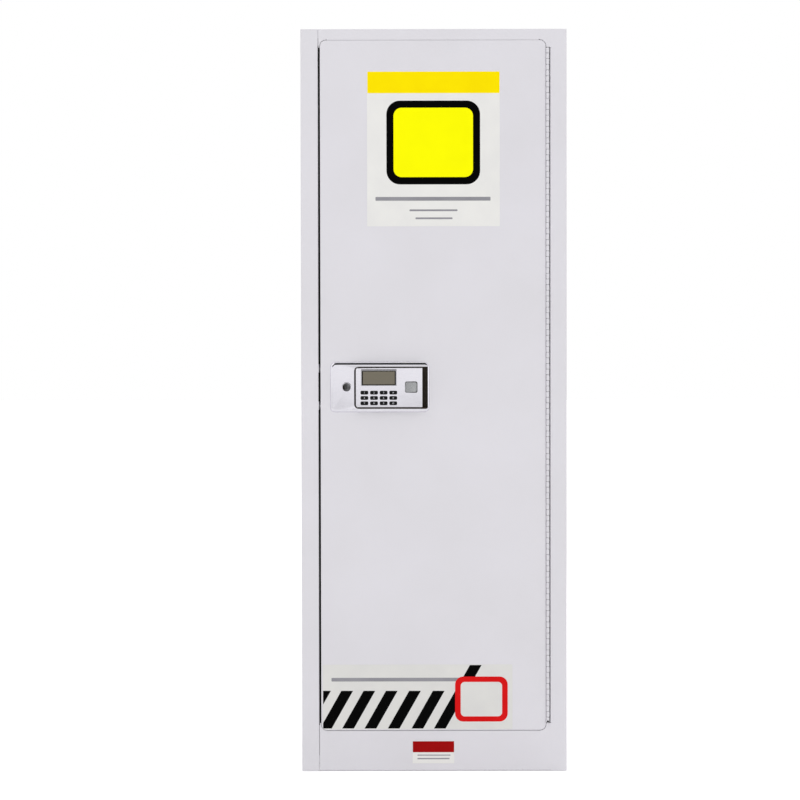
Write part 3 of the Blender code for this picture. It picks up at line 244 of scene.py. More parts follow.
def circuit_board(name):
    """Glass-fibre board under green solder resist, with the copper's tracks lifting it."""
    material, tree, shader, place = principled(name, "1E4A2C", Roughness=0.35)
    tracks = add(tree, "ShaderNodeTexBrick", {
        "Vector": place, "Scale": 1 / 0.012,
        "Color1": linear("1E4A2C"), "Color2": linear("26573A"), "Mortar": linear("3C7A50"),
        "Mortar Size": 0.04}).outputs["Color"]
    wire(shader, Base_Color=tracks, Normal=bump(tree, tracks, 0.00003))
    return material


# Making meshes


def shade(piece, angle):
    """Shade a piece smooth up to an angle, its large flat faces keeping their own normals."""
    piece.data.shade_smooth()
    piece.data.set_sharp_from_angle(angle=math.radians(angle))
    weighting = piece.modifiers.new("face_weights", "WEIGHTED_NORMAL")
    weighting.weight = 100
    weighting.keep_sharp = True


def linked(name, data):
    """A new object in the scene."""
    item = bpy.data.objects.new(name, data)
    bpy.context.scene.collection.objects.link(item)
    return item


def placed(name, mesh, body, node=None, smooth=None):
    """A mesh as a piece on a body, standing for a node where one is named."""
    piece = linked(name, mesh)
    if smooth:
        shade(piece, smooth)
    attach(piece, body)
    if node:
        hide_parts(node)
    return piece


def new_piece(name, body, part, materials, node=None, smooth=None, finishes=None):
    """A piece from points and faces, all of one finish or each face of its own."""
    mesh = bpy.data.meshes.new(name)
    mesh.from_pydata(part[0], [], part[1])
    for material in materials:
        mesh.materials.append(material)
    if finishes is not None:
        mesh.polygons.foreach_set("material_index", finishes)
    mesh.update()
    return placed(name, mesh, body, node, smooth)


def around(count):
    """Angles evenly round a circle."""
    return np.linspace(0.0, 2 * math.pi, count, endpoint=False)


def grown(spans, margin):
    """Two spans with each end moved outwards."""
    return [(low - margin, high + margin) for low, high in spans]


def rounded(x_span, z_span, radii, steps=8):
    """Outline of a rectangle whose corners are quarter circles, as rows of (x, z).

    Each corner's points stand at centre + radius * (cos, sin) of an evenly spread angle; the
    corners go low left, low right, high right, high left. One radius serves all corners.
    """
    radii = np.broadcast_to(radii, 4)
    signs = np.array([(-1, -1), (1, -1), (1, 1), (-1, 1)])
    x_low, x_high = x_span
    z_low, z_high = z_span
    edges = np.array([(x_low, z_low), (x_high, z_low), (x_high, z_high), (x_low, z_high)])
    centres = edges - signs * radii[:, None]
    starts = np.array([math.pi, 1.5 * math.pi, 0.0, 0.5 * math.pi])
    angles = starts[:, None] + np.linspace(0.0, math.pi / 2, steps)[None, :]
    x = centres[:, :1] + radii[:, None] * np.cos(angles)
    z = centres[:, 1:] + radii[:, None] * np.sin(angles)
    return np.stack([x, z], axis=-1).reshape(-1, 2)


def circle(centre, radius, count=48):
    """Points evenly round a circle, as rows of (x, z), at one radius or at one each."""
    angles = around(count)
    return np.stack([centre[0] + radius * np.cos(angles),
                     centre[1] + radius * np.sin(angles)], axis=-1)


def at_depth(outline, y):
    """An outline of (x, z) placed at a depth."""
    return np.column_stack([outline[:, 0], np.full(len(outline), y), outline[:, 1]])


def at_height(outline, z):
    """An outline of (x, y) placed at a height."""
    return np.column_stack([outline, np.full(len(outline), z)])


def skin(rings, caps=(True, True)):
    """Points and faces of a surface carried through rings of as many points each."""
    rings = np.asarray(rings, float)
    index = np.arange(rings.shape[0] * rings.shape[1]).reshape(rings.shape[:2])
    low, high = index[:-1], index[1:]
    quads = np.stack([low, np.roll(low, -1, 1), np.roll(high, -1, 1), high], -1)
    faces = quads.reshape(-1, 4).tolist()
    if caps[0]:
        faces.append(index[0][::-1].tolist())
    if caps[1]:
        faces.append(index[-1].tolist())
    return rings.reshape(-1, 3), faces


def tube(outlines, *depths):
    """An open surface: outlines of (x, z), one for each depth or one for all."""
    outlines = outlines if isinstance(outlines, list) else [outlines] * len(depths)
    return skin([at_depth(*ring) for ring in zip(outlines, depths)], (False, False))


def taken(tree):
    """A bmesh's points and faces; the bmesh is freed."""
    tree.verts.index_update()
    points = np.array([corner.co for corner in tree.verts])
    faces = [[corner.index for corner in face.verts] for face in tree.faces]
    tree.free()
    return points, faces


def filled(outlines, y):
    """Triangles of a flat face with holes: the first outline less the others, at a depth."""
    tree = bmesh.new()
    edges = []
    for outline in outlines:
        corners = [tree.verts.new((x, y, z)) for x, z in outline]
        edges += [tree.edges.new((corners[place - 1], corners[place]))
                  for place in range(len(corners))]
    bmesh.ops.triangle_fill(tree, use_beauty=True, edges=edges)
    return taken(tree)


def gathered(parts, dissolve=False):
    """Several sets of points and faces as one, points that coincide made one, faces outwards.

    Dissolving takes away the faces that this flattens, such as those at a pole.
    """
    tree = bmesh.new()
    for points, faces in parts:
        corners = [tree.verts.new(point) for point in points]
        for face in faces:
            tree.faces.new([corners[number] for number in face])
    bmesh.ops.remove_doubles(tree, verts=tree.verts, dist=0.000002)
    if dissolve:
        bmesh.ops.dissolve_degenerate(tree, dist=0.000001, edges=tree.edges)
    bmesh.ops.recalc_face_normals(tree, faces=tree.faces)
    return taken(tree)


def bar(outline, y_near, y_far, lip=0.0):
    """A flat outline carried in depth, its near edge drawn in by a lip."""
    middle = (outline.max(0) + outline.min(0)) / 2
    reach = np.maximum(np.abs(outline - middle).max(0), 1e-6)
    drawn_in = middle + (outline - middle) * (1 - lip / reach)
    return skin([at_depth(outline, y_far), at_depth(outline, y_near + lip),
                 at_depth(drawn_in, y_near)])


def turned(name, body, profile, axis, centre, material, node=None, count=64):
    """A closed outline of (radius, place along) carried round an axis X, Y or Z.

    Each point goes to centre + radius * (cos, sin) across the axis, and the points on the
    axis are made one.
    """
    rings = [np.insert(circle(centre, radius, count), "XYZ".index(axis), along, 1)
             for radius, along in profile + profile[:1]]
    part = gathered([skin(rings, (False, False))], True)
    return new_piece(name, body, part, [material], node, 40)


def rivets(name, body, places, outward, material, radius=0.0028, height=0.0009):
    """Domed rivet heads on a face: rings of 12 points that shrink as they rise outward.

    Each point is place + outward * rise + radius * (cos a, sin a) along two directions that
    lie in the face.
    """
    outward = np.asarray(outward, float)
    up = np.array([0.0, 0.0, 1.0])
    across = np.cross(up, outward)
    angles = around(12)[:, None]
    spoke = np.cos(angles) * across + np.sin(angles) * up
    shares = ((1.0, -0.1), (1.0, 0.25), (0.82, 0.7), (0.45, 1.0), (0.25, 0.8))
    parts = [skin([np.asarray(place) + outward * height * rise + spoke * radius * reach
                   for reach, rise in shares]) for place in places]
    return new_piece(name, body, gathered(parts), [material], smooth=50)


def dressed(node, body, material, width=None, chosen=None, segments=2, smooth=35):
    """A merged copy of a node's solid that stands for it, shaded smooth up to an angle.

    With a width its edges are rounded; chosen says from an edge's two ends whether it is one.
    """
    tree = bmesh.new()
    tree.from_mesh(frame["nodes"][node].data)
    bmesh.ops.remove_doubles(tree, verts=tree.verts, dist=0.000005)
    bmesh.ops.dissolve_limit(tree, angle_limit=math.radians(0.2), verts=tree.verts,
                             edges=tree.edges)
    bmesh.ops.recalc_face_normals(tree, faces=tree.faces)
    if width:
        picked = [edge for edge in tree.edges if len(edge.link_faces) == 2
                  and edge.calc_face_angle() > math.radians(smooth)
                  and (chosen is None or chosen(*(corner.co for corner in edge.verts)))]
        bmesh.ops.bevel(tree, geom=picked, offset=width, segments=segments, profile=0.5,
                        affect="EDGES", clamp_overlap=True)
    mesh = bpy.data.meshes.new(node + "_dressed")
    tree.to_mesh(mesh)
    tree.free()
    mesh.materials.clear()
    mesh.materials.append(material)
    return placed(mesh.name, mesh, body, node, smooth)


def middle_of(node):
    """The middle of a node's box."""
    low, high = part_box(node)
    return (low + high) / 2


def front_spans(node):
    """Spans in X and Z of a node's box."""
    low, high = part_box(node)
    return (low.x, high.x), (low.z, high.z)


def nodes_named(start):
    """Names of the nodes that start alike."""
    return [name for name in frame["nodes"] if name.startswith(start)]


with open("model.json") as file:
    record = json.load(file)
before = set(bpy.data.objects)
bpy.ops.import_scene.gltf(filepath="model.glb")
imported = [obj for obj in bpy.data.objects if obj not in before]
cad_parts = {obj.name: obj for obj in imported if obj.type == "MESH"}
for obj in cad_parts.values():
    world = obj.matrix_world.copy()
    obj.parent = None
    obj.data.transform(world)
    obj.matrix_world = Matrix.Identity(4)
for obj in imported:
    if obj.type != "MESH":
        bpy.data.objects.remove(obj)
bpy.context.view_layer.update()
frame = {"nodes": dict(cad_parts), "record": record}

# Places of the solids that the new pieces stand on
(door_left, door_right), (door_bottom, door_top) = front_spans("door_outer_panel")
(lock_left, lock_right), (lock_bottom, lock_top) = front_spans("lock_bezel")
lock_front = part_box("lock_bezel")[0].y
lock_z = (lock_bottom + lock_top) / 2
bolt_low, bolt_high = lock_z - bolt_spread / 2, lock_z + bolt_spread / 2
(flap_left, flap_right), (flap_bottom, flap_top) = front_spans("lock_flap")
pocket_left, pocket_right = flap_left - flap_play, flap_right + finger_slot
pocket_bottom, pocket_top = flap_bottom - flap_play, flap_top + flap_play
boss_left, boss_right = lock_left + boss_inset, pocket_right + boss_wall
boss_bottom, boss_top = pocket_bottom - boss_wall, pocket_top + boss_wall
display_spans = front_spans("display_window")
(display_left, display_right), (display_bottom, display_top) = display_spans
cylinder_x = middle_of("key_cylinder").x
key_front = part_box("key_1")[0].y + 0.0001

# Finishes of this cabinet
coat = powder_coat("baked_epoxy_powder_coat", "DCDADF", "E0DEE4")
inside_coat = powder_coat("inside_powder_coat", "D3D3D7", "D8D8DC", 0.48)
galvanised = galvanised_steel("galvanised_steel_sheet")
plated = zinc_plate("bright_zinc_plated_steel")
chrome = chrome_plate("chromium_plated_zinc_casting")
blackened = zinc_plate("blackened_steel", "2A2826", 0.34)
cap_plastic = moulded_plastic("polypropylene_cap", "4A4B4E", "414245", 0.0018, 0.52)
# Dark brown for the finger pocket and its mouth: painted shade of the recess and of the flap's gap
pocket_shade_brown = moulded_plastic("painted_shade_pocket", "2C1F13", "372719", 0.0016, 0.55)
# Black foam rubber of the door seal; the same black is painted shade in the closing gap and at the
# hinge's foot
seal_rubber_and_shade = moulded_plastic("black_seal_and_painted_shade", "121212", "1C1C1C", 0.0020, 0.80)
key_plastic = moulded_plastic("matt_key_rubber", "0B0B0D", "101013", 0.0010, 0.60, 0.15)
key_ink = printed_vinyl("grey_key_ink", "B4B4B8", "ACACB0", 0.5)
display = display_glass("unlit_display_glass")
display_mask = printed_vinyl("black_display_mask", "1A1815", "201D19", 0.35, 0.2)
board = circuit_board("green_solder_resist")
pale_vinyl = printed_vinyl("pale_vinyl_film", "EBEAE7", "E7E6E4")
# The lower film's vinyl, a shade greyer than the upper film's
greyer_vinyl = printed_vinyl("pale_grey_vinyl_film", "DFDEDB", "DBDAD8")
amber_ink = printed_vinyl("amber_print_on_vinyl", "FCE400", "F9DF00", 0.60, 0.03)
yellow_ink = printed_vinyl("yellow_print_on_vinyl", "FDFB03", "FAF803", 0.60, 0.03)
black_ink = printed_vinyl("black_print_on_vinyl", "030303", "050505", 0.60, 0.03)
grey_ink = printed_vinyl("grey_print_on_vinyl", "8C8B92", "97969C")
red_ink = printed_vinyl("red_print_on_vinyl", "DC1A1C", "D51618", 0.60, 0.03)
dark_red_ink = printed_vinyl("dark_red_enamel_print", "9C0C0E", "A00E10", 0.60, 0.03)

finish_of_slot = {"paint": coat, "inside_paint": inside_coat, "galvanised_steel": galvanised,
                  "plated_steel": plated, "chrome": chrome, "key_plastic": key_plastic,
                  "display": display, "circuit_board": board, "cap_plastic": cap_plastic}
for row in frame["record"]["subparts"]:
    mesh = frame["nodes"][row["node"]].data
    mesh.materials.clear()
    mesh.materials.append(finish_of_slot[row["material_slot"]])


# Hinge


def upright(outline, low, high):
    """An outline of (x, y) carried up from one height to another."""
    return skin([at_height(outline, low), at_height(outline, high)])


def round_knuckles(name, node, body, side, turn):
    """A hinge leaf: drawn tubes round the pin at every second pitch, and its flat strip.

    Each knuckle is a ring of 16 points at the same radius carried up its height, with both
    rims drawn in by a small chamfer.
    """
    radius, chamfer = 0.00345, 0.0006
    low = hinge_bottom + knuckle_pitch * np.arange(turn, knuckle_count, 2) + knuckle_gap / 2
    high = low + knuckle_pitch - knuckle_gap
    parts = []
    for foot, head in zip(low, high):
        profile = [(radius - chamfer, foot), (radius, foot + chamfer), (radius, head - chamfer),
                   (radius - chamfer, head)]
        parts.append(skin([at_height(circle((hinge_x, hinge_y), reach, 16), z)
                           for reach, z in profile]))
    new_piece(name, body, gathered(parts), [coat], smooth=50)
    strip_x = sorted(hinge_x + side * (leaf_reach - back) for back in (0.0, leaf_sheet))
    strip = rounded(strip_x, (leaf_start, leaf_start + leaf_depth), 0.0002, 2)
    neck = rounded(strip_x, (hinge_y, leaf_start + leaf_sheet / 2), 0.0002, 2)
    parts = [upright(strip, hinge_bottom, hinge_top)]
    parts += [upright(neck, *span) for span in zip(low, high)]
    new_piece(name + "_strip", body, gathered(parts), [coat], node)


round_knuckles("hinge_knuckles_frame", "hinge_leaf_frame", "cabinet", 1, 1)
round_knuckles("hinge_knuckles_door", "hinge_leaf_door", "door", -1, 0)
# A black dot at the hinge's foot: painted shadow of the gap under the last knuckle
foot_shadow_profile = [(0.0, -0.0046), (0.0018, -0.0046), (0.0022, -0.0042), (0.0022, -0.0020), (0.0, -0.0020)]
turned("hinge_foot_painted_shadow", "door", [(radius, hinge_y + depth) for radius, depth in foot_shadow_profile], "Y",
       (hinge_x, hinge_bottom + 0.0030), seal_rubber_and_shade, count=24)
first, pitch = 0.05, 0.10
rivet_heights = hinge_bottom + first + pitch * np.arange(15)
for name, body, side in (("frame", "cabinet", 1), ("door", "door", -1)):
    face_x = hinge_x + side * (leaf_reach - leaf_sheet)
    rivets("hinge_rivets_" + name, body,
           [(face_x, leaf_start + leaf_depth / 2, z) for z in rivet_heights],
           (-side, 0.0, 0.0), plated)


# Folded sheets, their bends shaded round


def on_door_rim(one, two):
    """Whether an edge lies on the rim of the door's face, clear of the lock's opening."""
    middle = (one + two) / 2
    return (max(one.y, two.y) < front + 0.0004
            and not (lock_left < middle.x < lock_right and lock_bottom < middle.z < lock_top))


for node in ("left_side_panel", "right_side_panel", "back_panel", "top_panel", "base_panel",
             "top_rail", "bottom_rail"):
    dressed(node, "cabinet", coat, smooth=50)
dressed("door_outer_panel", "door", coat, 0.0012, on_door_rim, 3)


# Rivets of the standards and of the door's inner sheet

first, pitch = 0.015, 0.2
for node in nodes_named("standard_"):
    low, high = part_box(node)
    side = -1 if "left" in node else 1
    face_x = low.x if side > 0 else high.x
    rivets(node + "_rivets", "cabinet",
           [(face_x, (low.y + high.y) / 2, low.z + first + pitch * step) for step in range(8)],
           (-side, 0.0, 0.0), galvanised)

low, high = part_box("door_inner_panel")
margin = 0.017
side_heights = np.linspace(low.z + margin, high.z - margin, 11)
end_places = np.linspace(low.x + margin, high.x - margin, 5)[1:-1]
places = [(x, high.y, z) for x in (low.x + margin, high.x - margin) for z in side_heights]
places += [(x, high.y, z) for z in (low.z + margin, high.z - margin) for x in end_places]
rivets("door_rivets", "door", places, (0.0, 1.0, 0.0), coat)


# Code lock
key_nodes = [name for name in nodes_named("key_") if name != "key_cylinder"]
key_corner = 0.0026
screen_hole = rounded(*grown(display_spans, 0.0003), 0.0005, 3)


def bezel_casting():
    """The lock's casting: rim, land, tub and sleeve hole as one closed skin, the tub and its
    widened mouth dark brown as painted shade.

    The rim is the lock's outline drawn in by r * (1 - cos a) while it comes forward by
    r * sin a, for a from 0 to a quarter turn, and by a share of that beside the finger slot;
    the land is that last ring with the tub and the cylinder's hole left out; behind the
    door's face the skin steps in to the boss.
    """
    rim, outer_corner, steps = 0.007, 0.0125, 10
    lip, land_end = 0.0003, 0.0002
    mouth_left, mouth_top, mouth_foot = 0.0006, 0.0010, 0.0018
    slim = (lock_right - pocket_right - lip - land_end) / rim

    def lock_outline(inset):
        """The lock's outline drawn in, less so beside the finger slot."""
        return rounded((lock_left + inset, lock_right - slim * inset),
                       (lock_bottom + inset, lock_top - inset), outer_corner - inset, steps)

    angles = np.linspace(0.0, math.pi / 2, 14)
    boss = rounded((boss_left, boss_right), (boss_bottom, boss_top), 0.003, steps)
    seat = front - 0.0003
    outlines = [boss, boss, lock_outline(0.0)]
    outlines += [lock_outline(rim * (1 - math.cos(angle))) for angle in angles]
    depths = [boss_back, seat, seat]
    depths += [lock_front + rim * (1 - math.sin(angle)) for angle in angles]
    pocket = rounded((pocket_left, pocket_right), (pocket_bottom, pocket_top),
                     [0.0087, 0.0006, 0.0006, 0.0087], steps)
    hole, eased = (circle((cylinder_x, lock_z), cylinder_radius + room, 40)
                   for room in (0.0003, 0.0008))
    # The pocket's mouth is widened and finished dark: painted shade that widens the flap's gap
    # round it
    wide_pocket = rounded((pocket_left - mouth_left, pocket_right + lip),
                          (pocket_bottom - mouth_foot, pocket_top + mouth_top),
                          [0.0095, 0.0040, 0.0012, 0.0095], steps)
    parts = [tube(outlines, *depths),
             filled([lock_outline(rim), wide_pocket, eased], lock_front),
             skin([at_depth(wide_pocket, lock_front), at_depth(pocket, lock_front + lip),
                   at_depth(pocket, pocket_floor)], (False, True)),
             tube([eased, hole, hole], lock_front, lock_front + 0.0005, boss_back),
             filled([boss, hole], boss_back)]
    points, faces = gathered(parts)
    x, y, z = np.array([points[face].mean(0) for face in faces]).T
    # Faces in the pocket and on its mouth take the dark brown finish, painted shade of the recess
    # and the gap
    in_pocket_shade = ((x > pocket_left - mouth_left) & (x < pocket_right + lip)
              & (y > lock_front + lip * 0.2) & (y < pocket_floor + 0.0002)
              & (z > pocket_bottom - mouth_foot) & (z < pocket_top + mouth_top))
    piece = new_piece("lock_casting", "door", (points, faces), [chrome, pocket_shade_brown],
                      "lock_bezel", 32, in_pocket_shade.astype(int))
    # The photographed door is evenly lit round the lock, so the casting takes no light from it
    piece.visible_diffuse = False
    piece.visible_shadow = False


def sign_face(name, body, layers, finishes, base, node=None):
    """Thin printed plates on one another: each layer an outline, a finish and its near plane.

    A layer is its outline carried in depth from the face below to its own near plane.
    """
    points, faces, numbers = [], [], []
    for outline, number, near in layers:
        layer_points, layer_faces = bar(outline, base, near, 0.00003)
        faces += [[corner + len(points) for corner in face] for face in layer_faces]
        points += layer_points.tolist()
        numbers += [number] * len(layer_faces)
    piece = new_piece(name, body, (points, faces), finishes, node, finishes=numbers)
    tree = bmesh.new()
    tree.from_mesh(piece.data)
    bmesh.ops.recalc_face_normals(tree, faces=tree.faces)
    tree.to_mesh(piece.data)
    tree.free()


def key_spans(node):
    """Spans in X and Z of a key's cap, inside its flange."""
    flange = 0.0007
    return grown(front_spans(node), -flange)


def flap_sections():
    """Cross-sections of the flap, from its round left edge to its eased right edge.

    At a place x from the left, the section is as deep as the half round leaves it,
    r - sqrt(r^2 - (r - x)^2) from each face, and as high as the rounded corners leave it,
    R - sqrt(R^2 - (R - x)^2) from each end; its two near corners are quarter circles.
    """
    half_round = flap_depth / 2
    ease = 0.0010
    middle = (flap_bottom + flap_top) / 2
    half = (flap_top - flap_bottom) / 2
    turn = np.linspace(0.04, 1.0, 11) * math.pi / 2
    places = list(half_round * (1 - np.cos(turn))) + [0.0060, 0.0070, flap_corner]
    width = flap_right - flap_left
    places += list(width - ease + ease * np.sin(np.linspace(0.0, 1.0, 5) * math.pi / 2))
    sections = []
    for place in places:
        sink = half_round - math.sqrt(half_round ** 2 - max(half_round - place, 0.0) ** 2)
        over = max(place - (width - ease), 0.0)
        near = lock_front + sink + ease - math.sqrt(max(ease ** 2 - over ** 2, 0.0))
        far = lock_front + flap_depth - sink
        drop = flap_corner - math.sqrt(flap_corner ** 2 - max(flap_corner - place, 0.0) ** 2)
        reach = half - drop
        soft = min(ease, (far - near) * 0.45)
        angles = np.linspace(0.0, math.pi / 2, 4)
        y = near + soft * (1 - np.sin(angles))
        z = reach - soft * (1 - np.cos(angles))
        low = np.stack([y, middle - z], axis=-1)
        high = np.stack([y, middle + z], axis=-1)[::-1]
        loop = np.concatenate([[(far, middle - reach)], low, high, [(far, middle + reach)]])
        sections.append(np.column_stack([np.full(len(loop), flap_left + place), loop]))
    return np.array(sections)


def flap_casting():
    """The flap's skin: its sections joined, its two flat faces cut for display, keys and room."""
    sections = flap_sections()
    count, length = sections.shape[:2]
    points, faces = skin(sections)
    # Flat from the half round's last section to the ease's first one
    first, last = 10, count - 5
    front_edge, back_edge = length // 2 - 1, length - 1
    kept = []
    for number, face in enumerate(faces):
        row, edge = divmod(number, length)
        flat = first <= row < last and edge == front_edge or first <= row and edge == back_edge
        if number >= (count - 1) * length or not flat:
            kept.append(face)
    near_edge, far_edge = sections[first:last + 1], sections[first:]
    front_face = np.concatenate([near_edge[:, front_edge], near_edge[::-1, front_edge + 1]])
    back_face = np.concatenate([far_edge[:, 0], far_edge[::-1, back_edge]])
    margin = 0.0002
    holes = [rounded(*grown(key_spans(node), margin), key_corner + margin, 6)
             for node in key_nodes]
    room = rounded((flap_left + flap_depth, flap_right - flap_wall),
                   (flap_bottom + flap_wall, flap_top - flap_wall), 0.0005, 2)
    back, floor = lock_front + flap_depth, lock_front + flap_face
    parts = [(points, kept), filled([front_face[:, [0, 2]], screen_hole] + holes, lock_front),
             filled([back_face[:, [0, 2]], room], back), filled([room] + holes, floor),
             tube(room, floor, back),
             skin([at_depth(screen_hole, lock_front), at_depth(screen_hole, lock_front + 0.0025)],
                  (False, True))]
    parts += [tube(hole, lock_front, floor) for hole in holes]
    new_piece("flap_casting", "pull_flap", gathered(parts), [chrome], "lock_flap", 32)


def flap_fronts():
    """The display behind the flap's opening, and a blank badge."""
    mask = rounded(*grown(display_spans, -0.0003), 0.0006, 4)

    def drawn_in(side, above, below, radius, steps):
        """The display's outline drawn in by a margin on each edge."""
        return rounded((display_left + side, display_right - side),
                       (display_bottom + below, display_top - above), radius, steps)

    glass = drawn_in(0.0034, 0.0022, 0.0028, 0.0004, 3)
    sign_face("display_screen", "pull_flap",
              [(mask, 0, lock_front + 0.0002), (glass, 1, lock_front)], [display_mask, display],
              lock_front + 0.0022, "display_window")
    border = drawn_in(-0.0008, -0.0025, -0.0005, 0.0007, 4)
    printed("display_border", "pull_flap", (border, screen_hole), lock_front - 0.00005,
            display_mask)
    spans = ((-0.0645, -0.0367), (0.8444, 0.8696))
    badge = rounded(*spans, 0.004, 6)
    inner = rounded(*grown(spans, -0.002), 0.003, 6)
    sign_face("blank_badge", "pull_flap",
              [(badge, 0, lock_front - 0.0006), (inner, 1, lock_front - 0.0008)],
              [blackened, plated], lock_front + 0.0003)


def cylinder_front():
    """Turned face of the key cylinder: a bright ring round a dark, dished disc."""
    dressed("key_cylinder", "key_cylinder", blackened, 0.0004,
            lambda one, two: max(one.y, two.y) < lock_front + 0.001)
    profile = [(0.0004, 0.0002), (0.0026, 0.0001), (0.0024, -0.0007), (0.0018, -0.0010),
               (0.0008, -0.0008)]
    profile = [(cylinder_radius + out, lock_front + depth) for out, depth in profile]
    turned("cylinder_ring", "door", profile, "Y", (cylinder_x, lock_z), chrome)


def key_caps():
    """Rubber keys: the key's outline drawn in as the cap rises to its crowned top."""
    seat = lock_front + 0.0035
    levels = ((0.0, seat), (0.0, key_front + 0.0009), (0.00025, key_front + 0.00035),
              (0.0007, key_front + 0.00008), (0.0018, key_front))
    for node in key_nodes:
        boot = rounded(*front_spans(node), 0.0034, 5)
        rings = [at_depth(boot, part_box(node)[1].y), at_depth(boot, seat)]
        rings += [at_depth(rounded(*grown(key_spans(node), -inset), key_corner - inset, 5), y)
                  for inset, y in levels]
        new_piece(node + "_cap", node, skin(rings), [key_plastic], node, 50)
        middle = middle_of(node)
        middle = (middle.x, middle.z)
        if node == "key_cancel":
            print_mark(node, cross_outline(middle, 0.0019, 0.0005))
        elif node == "key_enter":
            print_mark(node, circle(middle, 0.0019, 24), circle(middle, 0.0011, 24))
        else:
            print_digit(node, node[-1], middle)


def cross_outline(middle, reach, half):
    """A cross standing on its tips: three points of one arm, turned by an eighth and quarters."""
    x, z = np.array([(half, half), (half, reach), (-half, reach)]).T
    turns = (around(4) + math.pi / 4)[:, None]
    outline = np.stack([x * np.cos(turns) - z * np.sin(turns),
                        x * np.sin(turns) + z * np.cos(turns)], axis=-1)
    return outline.reshape(-1, 2) + middle


def print_mark(key, *outlines):
    """A printed mark on a key: its outline, less an inner one, a breath proud of the cap."""
    printed(key + "_mark", key, outlines, key_front - 0.00006, key_ink)


def printed(name, body, outlines, near, material):
    """A printed layer 0.16 mm thick: an outline less the others, from its near plane back."""
    far = near + 0.00016
    parts = [filled(outlines, near), filled(outlines, far)]
    parts += [tube(outline, near, far) for outline in outlines]
    new_piece(name, body, gathered(parts), [material])


def print_digit(key, digit, middle):
    """A printed digit, its strokes laid on the key's top."""
    curve = bpy.data.curves.new(key + "_digit", "FONT")
    curve.body = digit
    settings = {"size": 0.0054, "offset": 0.00012, "extrude": 0.00008, "align_x": "CENTER",
                "align_y": "CENTER", "resolution_u": 3}
    for name, value in settings.items():
        setattr(curve, name, value)
    drawn = linked("drawn", curve)
    bpy.context.view_layer.update()
    mesh = bpy.data.meshes.new_from_object(drawn.evaluated_get(
        bpy.context.evaluated_depsgraph_get()))
    bpy.data.objects.remove(drawn)
    mesh.transform(Matrix.Translation((middle[0], key_front, middle[1]))
                   @ Matrix.Rotation(math.pi / 2, 4, "X"))
    mesh.materials.clear()
    mesh.materials.append(key_ink)
    placed(key + "_digit", mesh, key)


bezel_casting()
flap_casting()
flap_fronts()
cylinder_front()
key_caps()


# Plates and films on the front, with nothing written on them


def on_front(across, down):
    """X and Z where the camera's ray through a place in the picture meets the front's plane."""
    middle = (picture_size - 1) / 2
    ray = camera_turn @ Vector(((across - middle) * camera_pixel, (middle - down) * camera_pixel,
                                -camera_distance))
    place = camera_place + ray * ((front - camera_place.y) / ray.y)
    return place.x, place.z


def seen(left, right, top, bottom):
    """Spans in X and Z, in metres, of a box given in the picture's pixels."""
    across, down = (left + right) / 2, (top + bottom) / 2
    return ((on_front(left, down)[0], on_front(right, down)[0]),
            (on_front(across, bottom)[1], on_front(across, top)[1]))


def seen_points(points):
    """An outline in X and Z of points given in the picture's pixels."""
    return np.array([on_front(*point) for point in points])


def film(level):
    """Near plane of a film's layer: each lies 0.06 mm on the one below."""
    return front - 0.0003 - 0.00006 * level


def field(number, level, box, radii, steps):
    """A layer of a film: a rounded box given in pixels, its finish's number and its level."""
    return rounded(*seen(*box), radii, steps), number, film(level)


def upper_film():
    """Tall pale film with a yellow head, a framed yellow field and three ruled lines."""
    layers = [field(0, 0, (366.6, 499.3, 70.9, 225.7), 0.002, 6),
              field(1, 1, (366.8, 499.0, 71.1, 92.6), 0.0018, 6),
              field(2, 1, (385.9, 479.6, 100.1, 183.9), 0.030, 10),
              field(4, 2, (393.0, 472.5, 107.2, 176.6), 0.018, 10),
              field(3, 1, (375, 490, 196.4, 200.2), 0.0012, 4),
              field(3, 1, (409, 457, 208.9, 210.7), 0.0012, 4),
              field(3, 1, (415, 452, 216.9, 218.7), 0.0012, 4)]
    sign_face("upper_film", "door", layers,
              [pale_vinyl, amber_ink, black_ink, grey_ink, yellow_ink], front + 0.0002)


def lower_film():
    """Low pale film with slanting bars, one ruled line and a framed pale field."""
    left, right, top, foot, head = 322.3, 512.0, 664.0, 728.0, 690.3
    lean, width, edge = 0.567, 11.7, left + 0.3
    first = 331.2

    def slant(low, high_row):
        """A slanting bar from its low left corner at the film's foot up to a row."""
        high = low + (foot - high_row) * lean
        return [(low, foot), (low + width, foot), (high + width, high_row), (high, high_row)]

    # The film's edge cuts the first bar and the tip before it; the low left corner keeps
    # inside the door's round corner
    cut = slant(first - width, head)
    bars = [[(edge, 704.1), (edge + 7.8, head), (edge, head)],
            [(edge, foot - 0.6), (edge + 0.6, foot), *cut[1:],
             (edge, foot - (edge - first + width) / lean)]]
    bars += [slant(low, head) for low in (341.7, 364.1, 387.3, 411.0)]
    bars.append(slant(433.4, top + 0.5))
    layers = [field(0, 0, (left, right, top, foot + 0.6), [0.0045, 0.0006, 0.0006, 0.0006], 8)]
    layers += [(seen_points(outline), 1, film(1)) for outline in bars]
    layers += [field(2, 1, (331, 459, 677.3, 680.9), 0.0012, 4),
               field(3, 2, (454.6, 507.2, 676, 721), 0.018, 8),
               field(0, 3, (460.2, 501.6, 681.4, 715.8), 0.009, 8)]
    sign_face("lower_film", "door", layers, [greyer_vinyl, black_ink, grey_ink, red_ink],
              front + 0.0002)


def foot_plate():
    """Small plate on the bottom rail with a dark red head and two ruled lines."""
    layers = [field(0, 1, (412.2, 453.8, 740.6, 762.8), 0.0010, 5),
              field(1, 2, (412.3, 453.6, 740.7, 751.7), 0.0009, 5),
              field(2, 2, (417, 450, 754.1, 755.1), 0.0004, 3),
              field(2, 2, (417, 449, 757.4, 758.7), 0.0004, 3)]
    sign_face("foot_plate", "cabinet", layers, [pale_vinyl, dark_red_ink, grey_ink],
              front + 0.0002)


upper_film()
lower_film()
foot_plate()


# Vents, feet and bolts


